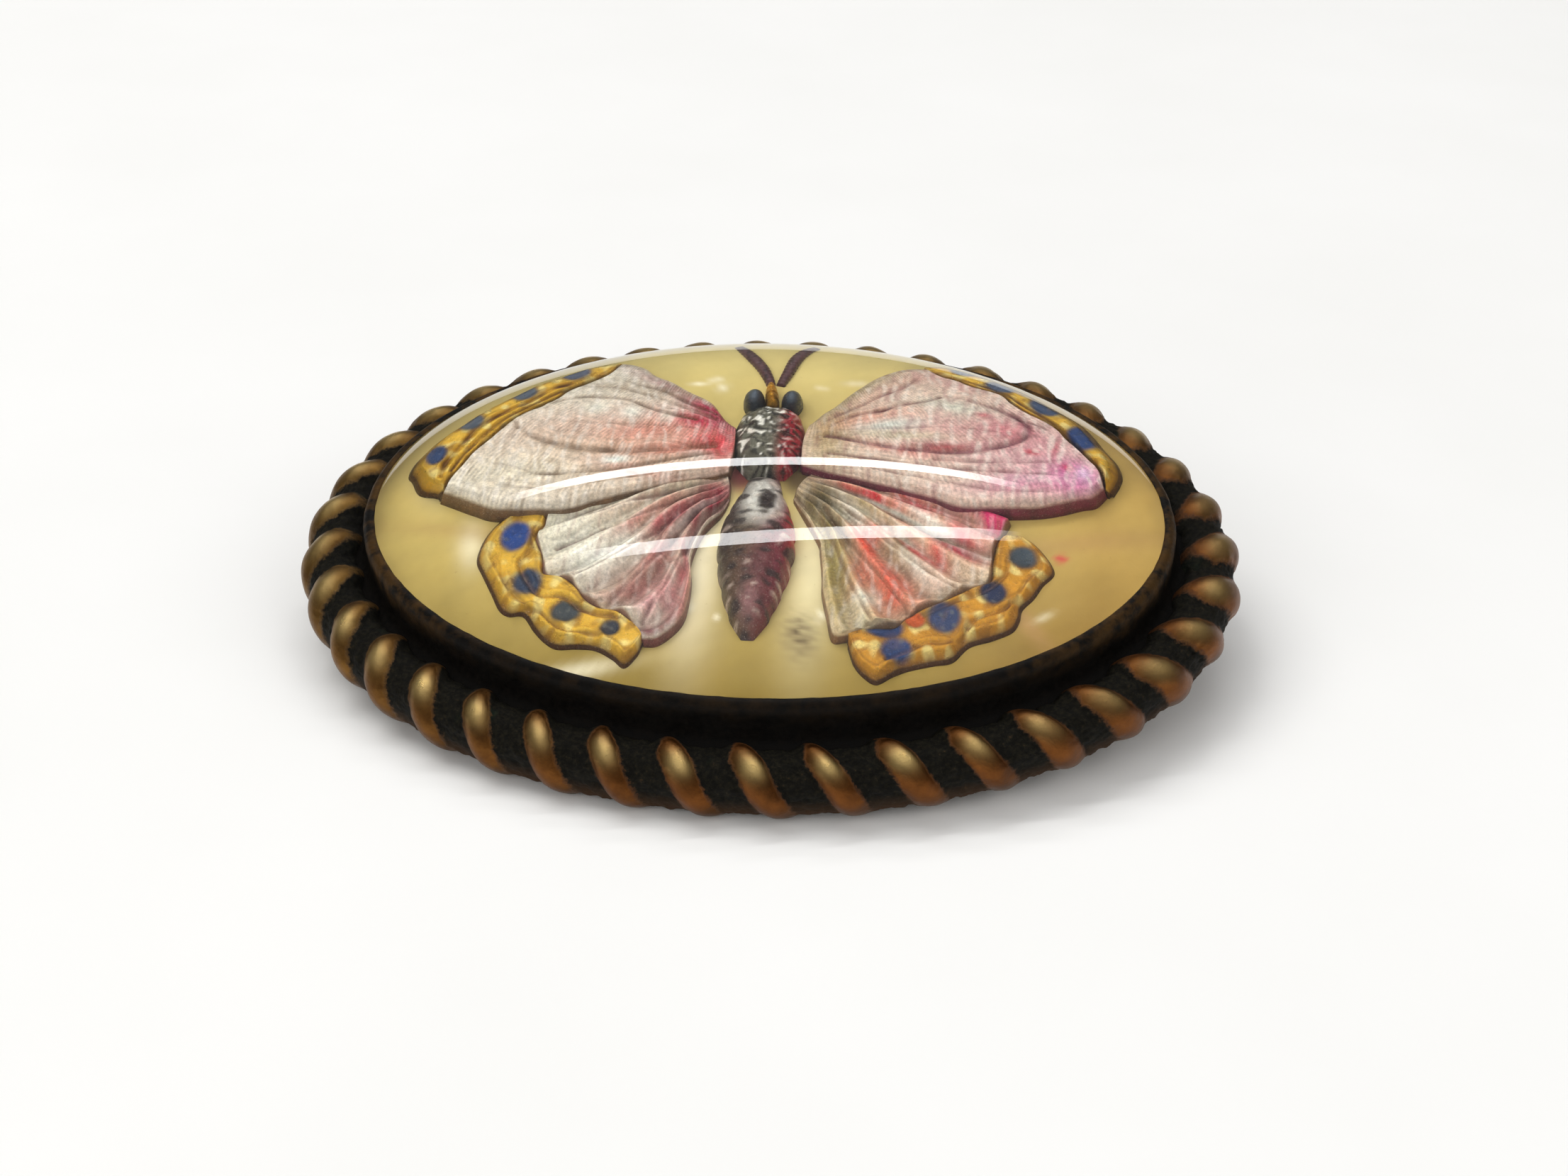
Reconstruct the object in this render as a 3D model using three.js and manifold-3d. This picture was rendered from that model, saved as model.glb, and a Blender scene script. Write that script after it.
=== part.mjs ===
// Oval reverse-carved butterfly brooch: a clear domed cabochon, carved and painted from behind,
// set in a plain bezel inside a wound rope border, with a hinged pin and a roll-over safety catch.
// Units are millimetres. +X runs along the wingspan, +Y towards the antennae, +Z out of the dome.
// The origin is the centre of the back plate's flat rear face.
import * as THREE from 'three';
import { mergeVertices } from 'three/addons/utils/BufferGeometryUtils.js';
import Module from 'manifold-3d';

const wasm = await Module();
wasm.setup();

// ---- Driving dimensions ----
const GLASS_LONG = 20.05; // half length of the cabochon
const GLASS_SHORT = 14.7; // half width of the cabochon
const GLASS_BASE = 1.8; // height of the carved flat back
const GIRDLE = 4.6; // where the straight side ends and the crown starts
const CROWN = 4.6; // rise of the crown above the girdle
const FULLNESS = 1.06; // 1 is a half ellipsoid, larger is a shallower cap
const OVAL_STEP = 5.35; // how much shorter the short half axis of a ring is

const PLATE_THICK = 0.8;
const SOLDER_GAP = 0.05; // between pieces that lie on each other
const PAINT_GAP = 0.3; // between a painted filling and the carved glass round it
const CARD_THICK = 0.45;
const GROUND_THICK = 0.4;

const ROPE_LONG = 22.4; // half axes of the rope's centre line
const ROPE_SHORT = 17.0;
const ROPE_RIDGE = 1.8; // radius over the wires
const ROPE_VALLEY = 1.3; // radius between the wires
const ROPE_BUMPS = 38; // turns of the wire round the border, each one a rounded lobe
const ROPE_START = 1.675; // where the first lobe lies, counted in lobes from the top
const ROPE_SLANT = 0.35; // how much steeper the wire lies across the outer side
const ROPE_SLANT_FROM = 0.5; // the direction it steepens about, in radians above level
const ROPE_UNEVEN = 0.29; // how far the hand-laid winding runs ahead or behind, in lobes
const ROPE_UNEVEN_AT = 0.58;
const STEPS_PER_BUMP = 4;
const ROPE_SIDES = 8;

const PIN_Y = 4; // the pin lies above the middle, so that the brooch doesn't tip forward
const HINGE_X = -15;
const HINGE_Z = -1.9;
const CATCH_X = 15.5;
const CATCH_Z = -2.6;
const PIN_RADIUS = 0.45;
const PIN_TIP_X = 19.6;
const RIVET_RADIUS = 0.4;
const RUNNING_FIT = 0.06;
const EYE_RADIUS = 1.0;
const EYE_THICK = 1.2;
const EAR_THICK = 0.6;
const EAR_GAP = 1.4;
const PAD_THICK = 0.5;
const SLEEVE_INNER = 0.68;
const SLEEVE_OUTER = 1.1;
const COLLAR_OUTER = 1.65;
const COLLAR_LENGTH = 1.0;
const TAB_SLOT = 1.1; // space between the two collars for the thumb tab
const THROAT = 110; // width of the catch's opening in degrees
const TAB_REACH = 2.6;
const TAB_AT = 195; // direction of the thumb tab in degrees, from +Y towards +Z

// Heights of the painted fillings above the carved back
const HEIGHT = {
  forewing: 1.6,
  foreborder: 1.5,
  hindwing: 0.75,
  hindborder: 0.6,
  thorax: 2.2,
  abdomen: 1.9,
  head: 1.7,
  eye: 1.9,
  antenna: 0.5,
};

// ---- Butterfly outlines, seen from above: each list is one edge between two corners ----
const FORE_LEFT = {
  leading: [[-2.4, 5.3], [-3.6, 7.0], [-5.9, 8.8], [-7.3, 9.9], [-8.4, 10.6]],
  inner: [[-8.7, 9.9], [-10.0, 8.6], [-12.0, 6.7], [-13.7, 4.9], [-15.0, 2.8], [-15.8, 0.9]],
  outer: [[-8.6, 10.8], [-10.3, 10.4], [-13.2, 8.9], [-15.7, 6.7], [-17.3, 4.2], [-17.8, 2.5], [-17.2, 1.6],
    [-16.2, 0.9]],
  trailing: [[-15.4, 0.4], [-13.0, -0.5], [-11.2, -0.8], [-9.5, -0.8], [-7.5, 0.0], [-5.1, 0.9], [-2.4, 1.9]],
};
const FORE_RIGHT = {
  top: [[2.0, 5.9], [3.4, 8.0], [5.0, 9.9], [6.8, 11.2]],
  inner: [[7.0, 11.0], [9.0, 10.1], [11.2, 9.1], [13.0, 7.7], [14.5, 6.2], [15.7, 4.4], [16.1, 3.0]],
  outer: [[7.0, 11.5], [8.3, 12.1], [10.7, 11.3], [13.9, 9.3], [16.0, 6.8], [17.0, 4.9], [17.0, 3.7],
    [16.5, 2.9]],
  trailing: [[15.8, 2.4], [15.0, 2.0], [12.9, 1.2], [10.7, 0.6], [8.5, 0.9], [5.7, 1.5], [2.0, 2.1]],
};
const HIND_LEFT = {
  top: [[-2.4, 1.3], [-5.1, 0.4], [-7.5, -0.5], [-9.0, -1.25], [-10.2, -1.4]],
  inner: [[-10.2, -1.7], [-10.1, -3.3], [-9.7, -4.6], [-8.5, -5.7], [-7.1, -6.9], [-5.7, -7.4], [-4.7, -8.1]],
  outer: [[-10.6, -1.4], [-11.4, -1.2], [-12.6, -1.5], [-13.1, -2.4], [-13.4, -3.8], [-12.9, -5.0],
    [-11.8, -7.2], [-10.0, -8.1], [-9.1, -9.2], [-7.2, -9.4], [-5.8, -10.1], [-5.2, -9.2], [-5.0, -8.5]],
  body: [[-4.4, -8.6], [-3.8, -8.4], [-3.2, -7.0], [-3.1, -5.0], [-3.1, -3.4], [-2.8, -2.0], [-2.4, -0.6]],
};
const HIND_RIGHT = {
  top: [[2.0, 1.5], [5.7, 0.9], [8.5, 0.3], [10.7, 0.0], [12.0, 0.2], [12.5, -0.6]],
  inner: [[11.5, -1.6], [10.9, -3.1], [10.4, -4.1], [8.9, -5.0], [7.7, -6.1], [6.5, -7.0], [4.8, -7.8]],
  outer: [[12.7, -1.1], [13.3, -1.9], [13.7, -3.0], [12.4, -4.8], [12.1, -6.3], [10.1, -7.8], [9.2, -8.7],
    [7.9, -9.0], [6.0, -10.3], [5.1, -9.6], [4.6, -8.5]],
  body: [[4.2, -8.0], [3.8, -7.3], [3.3, -5.9], [3.0, -4.0], [2.8, -2.2], [2.1, -0.7]],
};
const ANTENNA_LEFT = [[-0.65, 8.3], [-0.85, 9.2], [-1.25, 10.6], [-1.9, 12.0], [-2.6, 12.8]];
const ANTENNA_RIGHT = [[-0.1, 8.3], [0.0, 9.4], [0.25, 10.8], [0.7, 12.0], [1.35, 12.9]];
const OVALS = {
  thorax: { x: -0.2, y: 3.9, long: 1.75, tall: 2.1 },
  abdomen: { x: -0.15, y: -3.9, long: 1.75, tall: 4.7 },
  head: { x: -0.37, y: 7.1, long: 0.32, tall: 0.85 },
  eye_left: { x: -1.3, y: 6.95, long: 0.42, tall: 0.8 },
  eye_right: { x: 0.56, y: 6.85, long: 0.42, tall: 0.8 },
};

// ---- Materials ----
function finish(color, roughness, metalness) {
  return new THREE.MeshStandardMaterial({ color, roughness, metalness });
}
const brassRope = finish(0x8a5f2c, 0.35, 1);
const brassDark = finish(0x2b241c, 0.45, 1);
const brassPlain = finish(0xa8803c, 0.4, 1);
const steel = finish(0xb9b4a8, 0.3, 1);
const glass = new THREE.MeshStandardMaterial({
  color: 0xf6f4ea, roughness: 0.05, metalness: 0, transparent: true, opacity: 0.35,
});
const cream = finish(0xcdb678, 0.6, 0);
const card = finish(0x9a8a6a, 0.9, 0);
const pearl = finish(0xcfa9a4, 0.45, 0.4);
const gilt = finish(0xc8942c, 0.35, 0.8);
const ink = finish(0x3a3236, 0.4, 0.2);

// ---- Solid helpers ----
function tidy(geometry) {
  const bare = new THREE.BufferGeometry();
  bare.setAttribute('position', geometry.getAttribute('position'));
  bare.setIndex(geometry.index);
  const merged = mergeVertices(bare, 1e-4);
  const index = merged.index.array;
  const kept = [];
  for (let i = 0; i < index.length; i += 3) {
    const [a, b, c] = [index[i], index[i + 1], index[i + 2]];
    if (a !== b && b !== c && c !== a) kept.push(a, b, c);
  }
  merged.setIndex(kept);
  return signedVolume(merged) < 0 ? flipped(merged) : merged;
}

function signedVolume(geometry) {
  const place = geometry.getAttribute('position');
  const index = geometry.index.array;
  const corner = [new THREE.Vector3(), new THREE.Vector3(), new THREE.Vector3()];
  let volume = 0;
  for (let i = 0; i < index.length; i += 3) {
    corner.forEach((point, k) => point.fromBufferAttribute(place, index[i + k]));
    volume += corner[0].dot(corner[1].cross(corner[2])) / 6;
  }
  return volume;
}

function flipped(geometry) {
  const index = Array.from(geometry.index.array);
  for (let i = 0; i < index.length; i += 3) [index[i + 1], index[i + 2]] = [index[i + 2], index[i + 1]];
  geometry.setIndex(index);
  return geometry;
}

function solid(geometry) {
  const clean = tidy(geometry);
  const vertProperties = new Float32Array(clean.getAttribute('position').array);
  const triVerts = new Uint32Array(clean.index.array);
  return new wasm.Manifold(new wasm.Mesh({ numProp: 3, vertProperties, triVerts }));
}

function geometryOf(manifold) {
  const mesh = manifold.getMesh();
  const geometry = new THREE.BufferGeometry();
  geometry.setAttribute('position', new THREE.BufferAttribute(new Float32Array(mesh.vertProperties), 3));
  geometry.setIndex(new THREE.BufferAttribute(new Uint32Array(mesh.triVerts), 1));
  return geometry;
}

const brooch = new THREE.Group();

function addPart(name, geometry, material, parent = brooch) {
  const part = new THREE.Mesh(tidy(geometry), material);
  part.name = name;
  parent.add(part);
  return part;
}

// Turns a profile of [long half axis, height] pairs into an oval solid or ring.
function ovalTurning(profile, shortAxis, segments) {
  const points = profile.map(([reach, height]) => new THREE.Vector2(reach, height));
  const geometry = new THREE.LatheGeometry(points, segments);
  geometry.rotateX(Math.PI / 2);
  const place = geometry.getAttribute('position');
  for (let i = 0; i < place.count; i += 1) {
    const reach = Math.hypot(place.getX(i), place.getY(i));
    if (reach > 0) place.setY(i, place.getY(i) * shortAxis(reach) / reach);
  }
  return geometry;
}

const likeGlass = (reach) => reach * GLASS_SHORT / GLASS_LONG;
const likeRing = (reach) => reach - OVAL_STEP;

function ovalPlate(reach, low, high, segments) {
  const profile = [[0, low], [reach, low], [reach, high], [0, high]];
  return ovalTurning(profile, (r) => r * likeRing(reach) / reach, segments);
}

// The rear face's facets meet a little off the origin, where they are clear of the fittings.
function backPlate() {
  const geometry = ovalPlate(GLASS_LONG + 0.45, 0, PLATE_THICK, 64);
  const place = geometry.getAttribute('position');
  for (let i = 0; i < place.count; i += 1) {
    const fromOrigin = Math.hypot(place.getX(i), place.getY(i), place.getZ(i));
    if (fromOrigin < 1e-6) place.setXY(i, 0.3, 1.2);
  }
  return geometry;
}

// ---- Outline helpers ----
function smooth(edge) {
  const curve = new THREE.SplineCurve(edge.map(([x, y]) => new THREE.Vector2(x, y)));
  return curve.getPoints(2 * (edge.length - 1));
}

function outline(...edges) {
  const points = [];
  edges.forEach((edge) => edge.forEach((point) => {
    const last = points[points.length - 1];
    if (!last || last.distanceTo(point) > 0.02) points.push(point);
  }));
  if (points[0].distanceTo(points[points.length - 1]) < 0.02) points.pop();
  return THREE.ShapeUtils.isClockWise(points) ? points.reverse() : points;
}

// Moves a counter-clockwise outline outwards, or inwards where the distance is negative.
function grown(points, distance) {
  return points.map((point, i) => {
    const before = points[(i + points.length - 1) % points.length];
    const after = points[(i + 1) % points.length];
    const along = after.clone().sub(before).normalize();
    return new THREE.Vector2(point.x + along.y * distance, point.y - along.x * distance);
  });
}

function slab(points, low, high) {
  const geometry = new THREE.ExtrudeGeometry(new THREE.Shape(points), { depth: high - low, bevelEnabled: false });
  return geometry.translate(0, 0, low);
}

// A painted filling: straight sides, then a small slope in to a flat top.
function filling(points, height) {
  const slope = 0.25;
  const rings = [
    { ring: points, z: 0 },
    { ring: points, z: height - slope },
    { ring: grown(points, -slope), z: height },
  ];
  const count = points.length;
  const vertices = rings.flatMap(({ ring, z }) => ring.flatMap((point) => [point.x, point.y, z + GLASS_BASE]));
  const faces = [];
  for (let level = 0; level < rings.length - 1; level += 1) {
    for (let i = 0; i < count; i += 1) {
      const a = level * count + i;
      const b = level * count + (i + 1) % count;
      faces.push(a, b, b + count, a, b + count, a + count);
    }
  }
  const caps = THREE.ShapeUtils.triangulateShape(points, []);
  const top = (rings.length - 1) * count;
  caps.forEach(([a, b, c]) => faces.push(c, b, a, top + a, top + b, top + c));
  const geometry = new THREE.BufferGeometry();
  geometry.setAttribute('position', new THREE.Float32BufferAttribute(vertices, 3));
  geometry.setIndex(faces);
  return geometry;
}

function ovalOutline({ x, y, long, tall }, extra = 0, count = 20) {
  const points = [];
  for (let i = 0; i < count; i += 1) {
    const turn = 2 * Math.PI * i / count;
    points.push(new THREE.Vector2(x + (long + extra) * Math.cos(turn), y + (tall + extra) * Math.sin(turn)));
  }
  return points;
}

function ovalDome({ x, y, long, tall }, height) {
  const profile = [new THREE.Vector2(0, 0)];
  const steps = 5;
  for (let i = 0; i <= steps; i += 1) {
    const rise = i / steps * Math.PI / 2;
    profile.push(new THREE.Vector2(i === steps ? 0 : Math.cos(rise), 0.25 + 0.75 * Math.sin(rise)));
  }
  profile.splice(1, 0, new THREE.Vector2(1, 0));
  const geometry = new THREE.LatheGeometry(profile, 20);
  geometry.rotateX(Math.PI / 2);
  return geometry.scale(long, tall, height).translate(x, y, GLASS_BASE);
}

// ---- Butterfly pieces: painted fillings that sit in the carving ----
function butterflyPieces() {
  const leftInner = smooth(FORE_LEFT.inner);
  const rightInner = smooth(FORE_RIGHT.inner);
  const hindLeftInner = smooth(HIND_LEFT.inner);
  const hindRightInner = smooth(HIND_RIGHT.inner);
  return {
    forewing_left: {
      points: outline(smooth(FORE_LEFT.leading), leftInner, smooth(FORE_LEFT.trailing)),
      height: HEIGHT.forewing,
      material: pearl,
    },
    forewing_right: {
      points: outline(smooth(FORE_RIGHT.top), rightInner, smooth(FORE_RIGHT.trailing)),
      height: HEIGHT.forewing,
      material: pearl,
    },
    forewing_border_left: {
      points: border(leftInner, smooth(FORE_LEFT.outer)),
      height: HEIGHT.foreborder,
      material: gilt,
    },
    forewing_border_right: {
      points: border(rightInner, smooth(FORE_RIGHT.outer)),
      height: HEIGHT.foreborder,
      material: gilt,
    },
    hindwing_left: {
      points: outline(smooth(HIND_LEFT.top), hindLeftInner, smooth(HIND_LEFT.body)),
      height: HEIGHT.hindwing,
      material: pearl,
    },
    hindwing_right: {
      points: outline(smooth(HIND_RIGHT.top), hindRightInner, smooth(HIND_RIGHT.body)),
      height: HEIGHT.hindwing,
      material: pearl,
    },
    hindwing_border_left: {
      points: border(hindLeftInner, HIND_LEFT.outer.map(([x, y]) => new THREE.Vector2(x, y))),
      height: HEIGHT.hindborder,
      material: gilt,
    },
    hindwing_border_right: {
      points: border(hindRightInner, HIND_RIGHT.outer.map(([x, y]) => new THREE.Vector2(x, y))),
      height: HEIGHT.hindborder,
      material: gilt,
    },
  };
}

// A border strip between a wing's edge and the strip's own outer edge, with a seam left open.
function border(inner, outer) {
  const seam = inner.map((point, i) => {
    const before = inner[Math.max(i - 1, 0)];
    const after = inner[Math.min(i + 1, inner.length - 1)];
    const along = after.clone().sub(before).normalize();
    const side = outer[Math.floor(outer.length / 2)].clone().sub(point);
    const normal = new THREE.Vector2(along.y, -along.x);
    return point.clone().addScaledVector(normal, normal.dot(side) > 0 ? PAINT_GAP : -PAINT_GAP);
  });
  return outline(seam, outer.slice().reverse());
}

function antenna(edge) {
  const path = new THREE.CatmullRomCurve3(edge.map(([x, y]) => new THREE.Vector3(x, y, 0)));
  const section = new THREE.Shape();
  section.absarc(0, 0, HEIGHT.antenna / 2, 0, 2 * Math.PI);
  return new THREE.ExtrudeGeometry(section, { steps: 10, curveSegments: 8, extrudePath: path, bevelEnabled: false })
    .translate(0, 0, GLASS_BASE + HEIGHT.antenna / 2 + 0.02);
}

function antennaPocket(edge) {
  const centre = smooth(edge);
  const half = HEIGHT.antenna / 2 + 0.2;
  const offset = (sign) => centre.map((point, i) => {
    const before = centre[Math.max(i - 1, 0)];
    const after = centre[Math.min(i + 1, centre.length - 1)];
    const along = after.clone().sub(before).normalize();
    return new THREE.Vector2(point.x + sign * along.y * half, point.y - sign * along.x * half);
  });
  const tip = centre[centre.length - 1].clone().sub(centre[centre.length - 2]).setLength(0.3);
  const left = offset(1);
  const right = offset(-1);
  left[left.length - 1].add(tip);
  right[right.length - 1].add(tip);
  return outline(left, right.reverse());
}

// ---- Glass, ground, card and plate ----
function crownProfile() {
  const floor = Math.sqrt(FULLNESS * FULLNESS - 1);
  const profile = [];
  const steps = 9;
  for (let i = 0; i <= steps; i += 1) {
    const reach = Math.cos(i / steps * Math.PI / 2);
    const rise = (Math.sqrt(FULLNESS * FULLNESS - reach * reach) - floor) / (FULLNESS - floor);
    profile.push([i === steps ? 0 : reach * GLASS_LONG, GIRDLE + CROWN * rise]);
  }
  return profile;
}

function glassCabochon(pieces) {
  const profile = [[0, GLASS_BASE], [GLASS_LONG, GLASS_BASE], ...crownProfile()];
  let body = solid(ovalTurning(profile, likeGlass, 64));
  const cut = (points, height) => {
    body = body.subtract(solid(slab(points, GLASS_BASE - 1, GLASS_BASE + height + PAINT_GAP)));
  };
  Object.values(pieces).forEach(({ points, height }) => cut(grown(points, PAINT_GAP), height));
  Object.entries(OVALS).forEach(([name, oval]) => {
    cut(ovalOutline(oval, PAINT_GAP), HEIGHT[name.split('_')[0]]);
  });
  cut(antennaPocket(ANTENNA_LEFT), HEIGHT.antenna);
  cut(antennaPocket(ANTENNA_RIGHT), HEIGHT.antenna);
  return geometryOf(body);
}

function bezelCollar() {
  const inside = GLASS_LONG + 0.15;
  const outside = GLASS_LONG + 0.5;
  const low = PLATE_THICK + SOLDER_GAP;
  const top = GIRDLE + 0.3;
  const profile = [
    [inside, low], [outside, low], [outside, top - 0.75], [outside + 0.2, top - 0.4],
    [outside + 0.15, top - 0.1], [inside + 0.2, top], [inside - 0.15, top - 0.05], [inside, top - 0.4], [inside, low],
  ];
  return ovalTurning(profile, likeRing, 64);
}

// ---- Wound rope border ----
function ropeBorder() {
  const ringRadius = 1;
  const tubeRadius = 0.25;
  const steps = ROPE_BUMPS * STEPS_PER_BUMP;
  const geometry = new THREE.TorusGeometry(ringRadius, tubeRadius, ROPE_SIDES, steps);
  const path = new THREE.EllipseCurve(0, 0, ROPE_LONG, ROPE_SHORT, Math.PI / 2, Math.PI / 2 + 2 * Math.PI, true);
  path.arcLengthDivisions = 2000;
  const place = geometry.getAttribute('position');
  for (let i = 0; i < place.count; i += 1) {
    const [x, y, z] = [place.getX(i), place.getY(i), place.getZ(i)];
    const part = (1 - Math.atan2(y, x) / (2 * Math.PI)) % 1;
    const round = Math.atan2(z, Math.hypot(x, y) - ringRadius);
    const steeper = Math.sin(round - ROPE_SLANT_FROM) - Math.sin(Math.PI / 4 - ROPE_SLANT_FROM);
    const wound = (round + ROPE_SLANT * steeper) / (2 * Math.PI);
    const lobe = part * ROPE_BUMPS - wound + ROPE_START;
    const uneven = ROPE_UNEVEN * Math.sin(2 * Math.PI * lobe / ROPE_BUMPS + ROPE_UNEVEN_AT);
    const wave = 0.5 + 0.5 * Math.cos(2 * Math.PI * (lobe + uneven));
    const reach = ROPE_VALLEY + (ROPE_RIDGE - ROPE_VALLEY) * wave;
    const centre = path.getPointAt(part);
    const along = path.getTangentAt(part);
    const out = new THREE.Vector2(-along.y, along.x);
    place.setXYZ(
      i,
      centre.x + out.x * reach * Math.cos(round),
      centre.y + out.y * reach * Math.cos(round),
      ROPE_RIDGE + reach * Math.sin(round),
    );
  }
  return geometry;
}

// ---- Pin, hinge and catch ----
function barAlongY(radius, length, segments = 24) {
  return new THREE.CylinderGeometry(radius, radius, length, segments);
}

function barAlongX(radius, length, segments = 24) {
  return new THREE.CylinderGeometry(radius, radius, length, segments).rotateZ(Math.PI / 2);
}

function hingeBase() {
  const width = EAR_GAP + 2 * EAR_THICK;
  const pad = solid(new THREE.BoxGeometry(4.4, width + 1.6, PAD_THICK).translate(0, 0, -PAD_THICK / 2));
  const earHeight = -HINGE_Z;
  let base = pad;
  [-1, 1].forEach((side) => {
    const y = side * (EAR_GAP + EAR_THICK) / 2;
    const post = new THREE.BoxGeometry(2 * EYE_RADIUS, EAR_THICK, earHeight - 0.2).translate(0, y, -(earHeight + 0.2) / 2);
    const round = barAlongY(EYE_RADIUS, EAR_THICK).translate(0, y, HINGE_Z);
    base = base.add(solid(post)).add(solid(round));
  });
  const bore = barAlongY(RIVET_RADIUS + SOLDER_GAP, width + 2).translate(0, 0, HINGE_Z);
  return geometryOf(base.subtract(solid(bore))).translate(HINGE_X, PIN_Y, 0);
}

function hingeRivet() {
  const half = EAR_GAP / 2 + EAR_THICK + SOLDER_GAP;
  const profile = [
    [0, -half - 0.35], [0.45, -half - 0.3], [0.7, -half - 0.1], [0.7, -half], [RIVET_RADIUS, -half],
    [RIVET_RADIUS, half], [0.7, half], [0.7, half + 0.1], [0.45, half + 0.3], [0, half + 0.35],
  ];
  const points = profile.map(([reach, y]) => new THREE.Vector2(reach, y));
  return new THREE.LatheGeometry(points, 24).translate(HINGE_X, PIN_Y, HINGE_Z);
}

// The stem is drawn along +X from its eye and then tilted down to meet the catch.
function pinStem() {
  const length = PIN_TIP_X - HINGE_X;
  const taper = [
    [0, 0.6], [PIN_RADIUS, 0.6], [PIN_RADIUS, length - 9], [0.36, length - 4.5], [0.2, length - 1.5], [0, length],
  ];
  const points = taper.map(([reach, x]) => new THREE.Vector2(reach, x));
  const wire = new THREE.LatheGeometry(points, 12).rotateZ(-Math.PI / 2);
  const eye = barAlongY(EYE_RADIUS, EYE_THICK);
  const bore = barAlongY(RIVET_RADIUS + RUNNING_FIT, 4);
  const body = solid(wire).add(solid(eye)).subtract(solid(bore));
  return geometryOf(body);
}

// A tube along X with an opening towards -Z.
function openTube(inner, outer, length) {
  const half = THREE.MathUtils.degToRad(THROAT / 2);
  const start = -Math.PI / 2 + half;
  const end = 1.5 * Math.PI - half;
  const shape = new THREE.Shape();
  shape.absarc(0, 0, outer, start, end, false);
  shape.absarc(0, 0, inner, end, start, true);
  const geometry = new THREE.ExtrudeGeometry(shape, { depth: length, curveSegments: 12, bevelEnabled: false });
  return geometry.rotateY(Math.PI / 2).rotateX(Math.PI / 2).translate(-length / 2, 0, 0);
}

function catchBody() {
  const reach = (COLLAR_LENGTH + TAB_SLOT) / 2;
  const pad = new THREE.BoxGeometry(4.6, 4.2, PAD_THICK).translate(0, 0, -PAD_THICK / 2);
  let body = solid(pad);
  [-1, 1].forEach((side) => {
    const collar = openTube(SLEEVE_OUTER + RUNNING_FIT, COLLAR_OUTER, COLLAR_LENGTH);
    const depth = -CATCH_Z - SLEEVE_OUTER - 0.35;
    const neck = new THREE.BoxGeometry(COLLAR_LENGTH, 1.5, depth).translate(side * reach, 0, -depth / 2);
    body = body.add(solid(collar.translate(side * reach, 0, CATCH_Z))).add(solid(neck));
  });
  return geometryOf(body).translate(CATCH_X, PIN_Y, 0);
}

function catchSleeve() {
  const tube = solid(openTube(SLEEVE_INNER, SLEEVE_OUTER, 2 * COLLAR_LENGTH + TAB_SLOT + 0.3));
  const inner = SLEEVE_OUTER - 0.2;
  const tab = new THREE.BoxGeometry(TAB_SLOT - 0.3, TAB_REACH - inner, 0.45)
    .translate(0, (TAB_REACH + inner) / 2, 0)
    .rotateX(THREE.MathUtils.degToRad(TAB_AT));
  return geometryOf(tube.add(solid(tab)));
}

// ---- Assembly ----
const pieces = butterflyPieces();

addPart('back_plate', backPlate(), brassDark);
const cardLow = PLATE_THICK + SOLDER_GAP;
addPart('backing_card', ovalPlate(GLASS_LONG - 0.05, cardLow, cardLow + CARD_THICK, 64), card);
const groundHigh = GLASS_BASE - SOLDER_GAP;
addPart('cream_ground', ovalPlate(GLASS_LONG - 0.05, groundHigh - GROUND_THICK, groundHigh, 64), cream);
addPart('glass_cabochon', glassCabochon(pieces), glass);
addPart('bezel_collar', bezelCollar(), brassDark);
addPart('rope_border', ropeBorder(), brassRope);

Object.entries(pieces).forEach(([name, piece]) => {
  addPart(name, filling(piece.points, piece.height), piece.material);
});
Object.entries(OVALS).forEach(([name, oval]) => {
  addPart(name, ovalDome(oval, HEIGHT[name.split('_')[0]]), ink);
});
addPart('antenna_left', antenna(ANTENNA_LEFT), ink);
addPart('antenna_right', antenna(ANTENNA_RIGHT), ink);

addPart('hinge_base', hingeBase(), brassPlain);
addPart('hinge_rivet', hingeRivet(), brassPlain);
const pinGroup = new THREE.Group();
pinGroup.position.set(HINGE_X, PIN_Y, HINGE_Z);
pinGroup.rotation.y = Math.atan2(HINGE_Z - CATCH_Z, CATCH_X - HINGE_X);
brooch.add(pinGroup);
addPart('pin_stem', pinStem(), steel, pinGroup);
addPart('catch_body', catchBody(), brassPlain);
const sleeveGroup = new THREE.Group();
sleeveGroup.position.set(CATCH_X, PIN_Y, CATCH_Z);
brooch.add(sleeveGroup);
addPart('catch_sleeve', catchSleeve(), brassPlain, sleeveGroup);

export default brooch;
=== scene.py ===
import math

import bpy
import numpy as np
from mathutils import Matrix, Vector


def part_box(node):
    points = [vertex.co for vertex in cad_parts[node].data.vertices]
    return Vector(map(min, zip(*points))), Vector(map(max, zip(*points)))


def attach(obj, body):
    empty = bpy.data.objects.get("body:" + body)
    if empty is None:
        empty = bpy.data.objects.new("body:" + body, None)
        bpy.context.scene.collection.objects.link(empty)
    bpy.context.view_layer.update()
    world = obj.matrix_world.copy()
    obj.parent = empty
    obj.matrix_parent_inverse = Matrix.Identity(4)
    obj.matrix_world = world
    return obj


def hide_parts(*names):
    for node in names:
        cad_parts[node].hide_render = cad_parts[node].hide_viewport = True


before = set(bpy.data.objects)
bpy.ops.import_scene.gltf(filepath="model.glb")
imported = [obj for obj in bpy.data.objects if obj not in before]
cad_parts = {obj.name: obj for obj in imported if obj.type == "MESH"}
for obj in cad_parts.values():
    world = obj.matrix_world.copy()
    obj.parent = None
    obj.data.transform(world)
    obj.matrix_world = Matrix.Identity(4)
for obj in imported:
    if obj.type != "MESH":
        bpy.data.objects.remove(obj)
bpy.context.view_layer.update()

MM = 0.001
BODY = "brooch"

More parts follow.
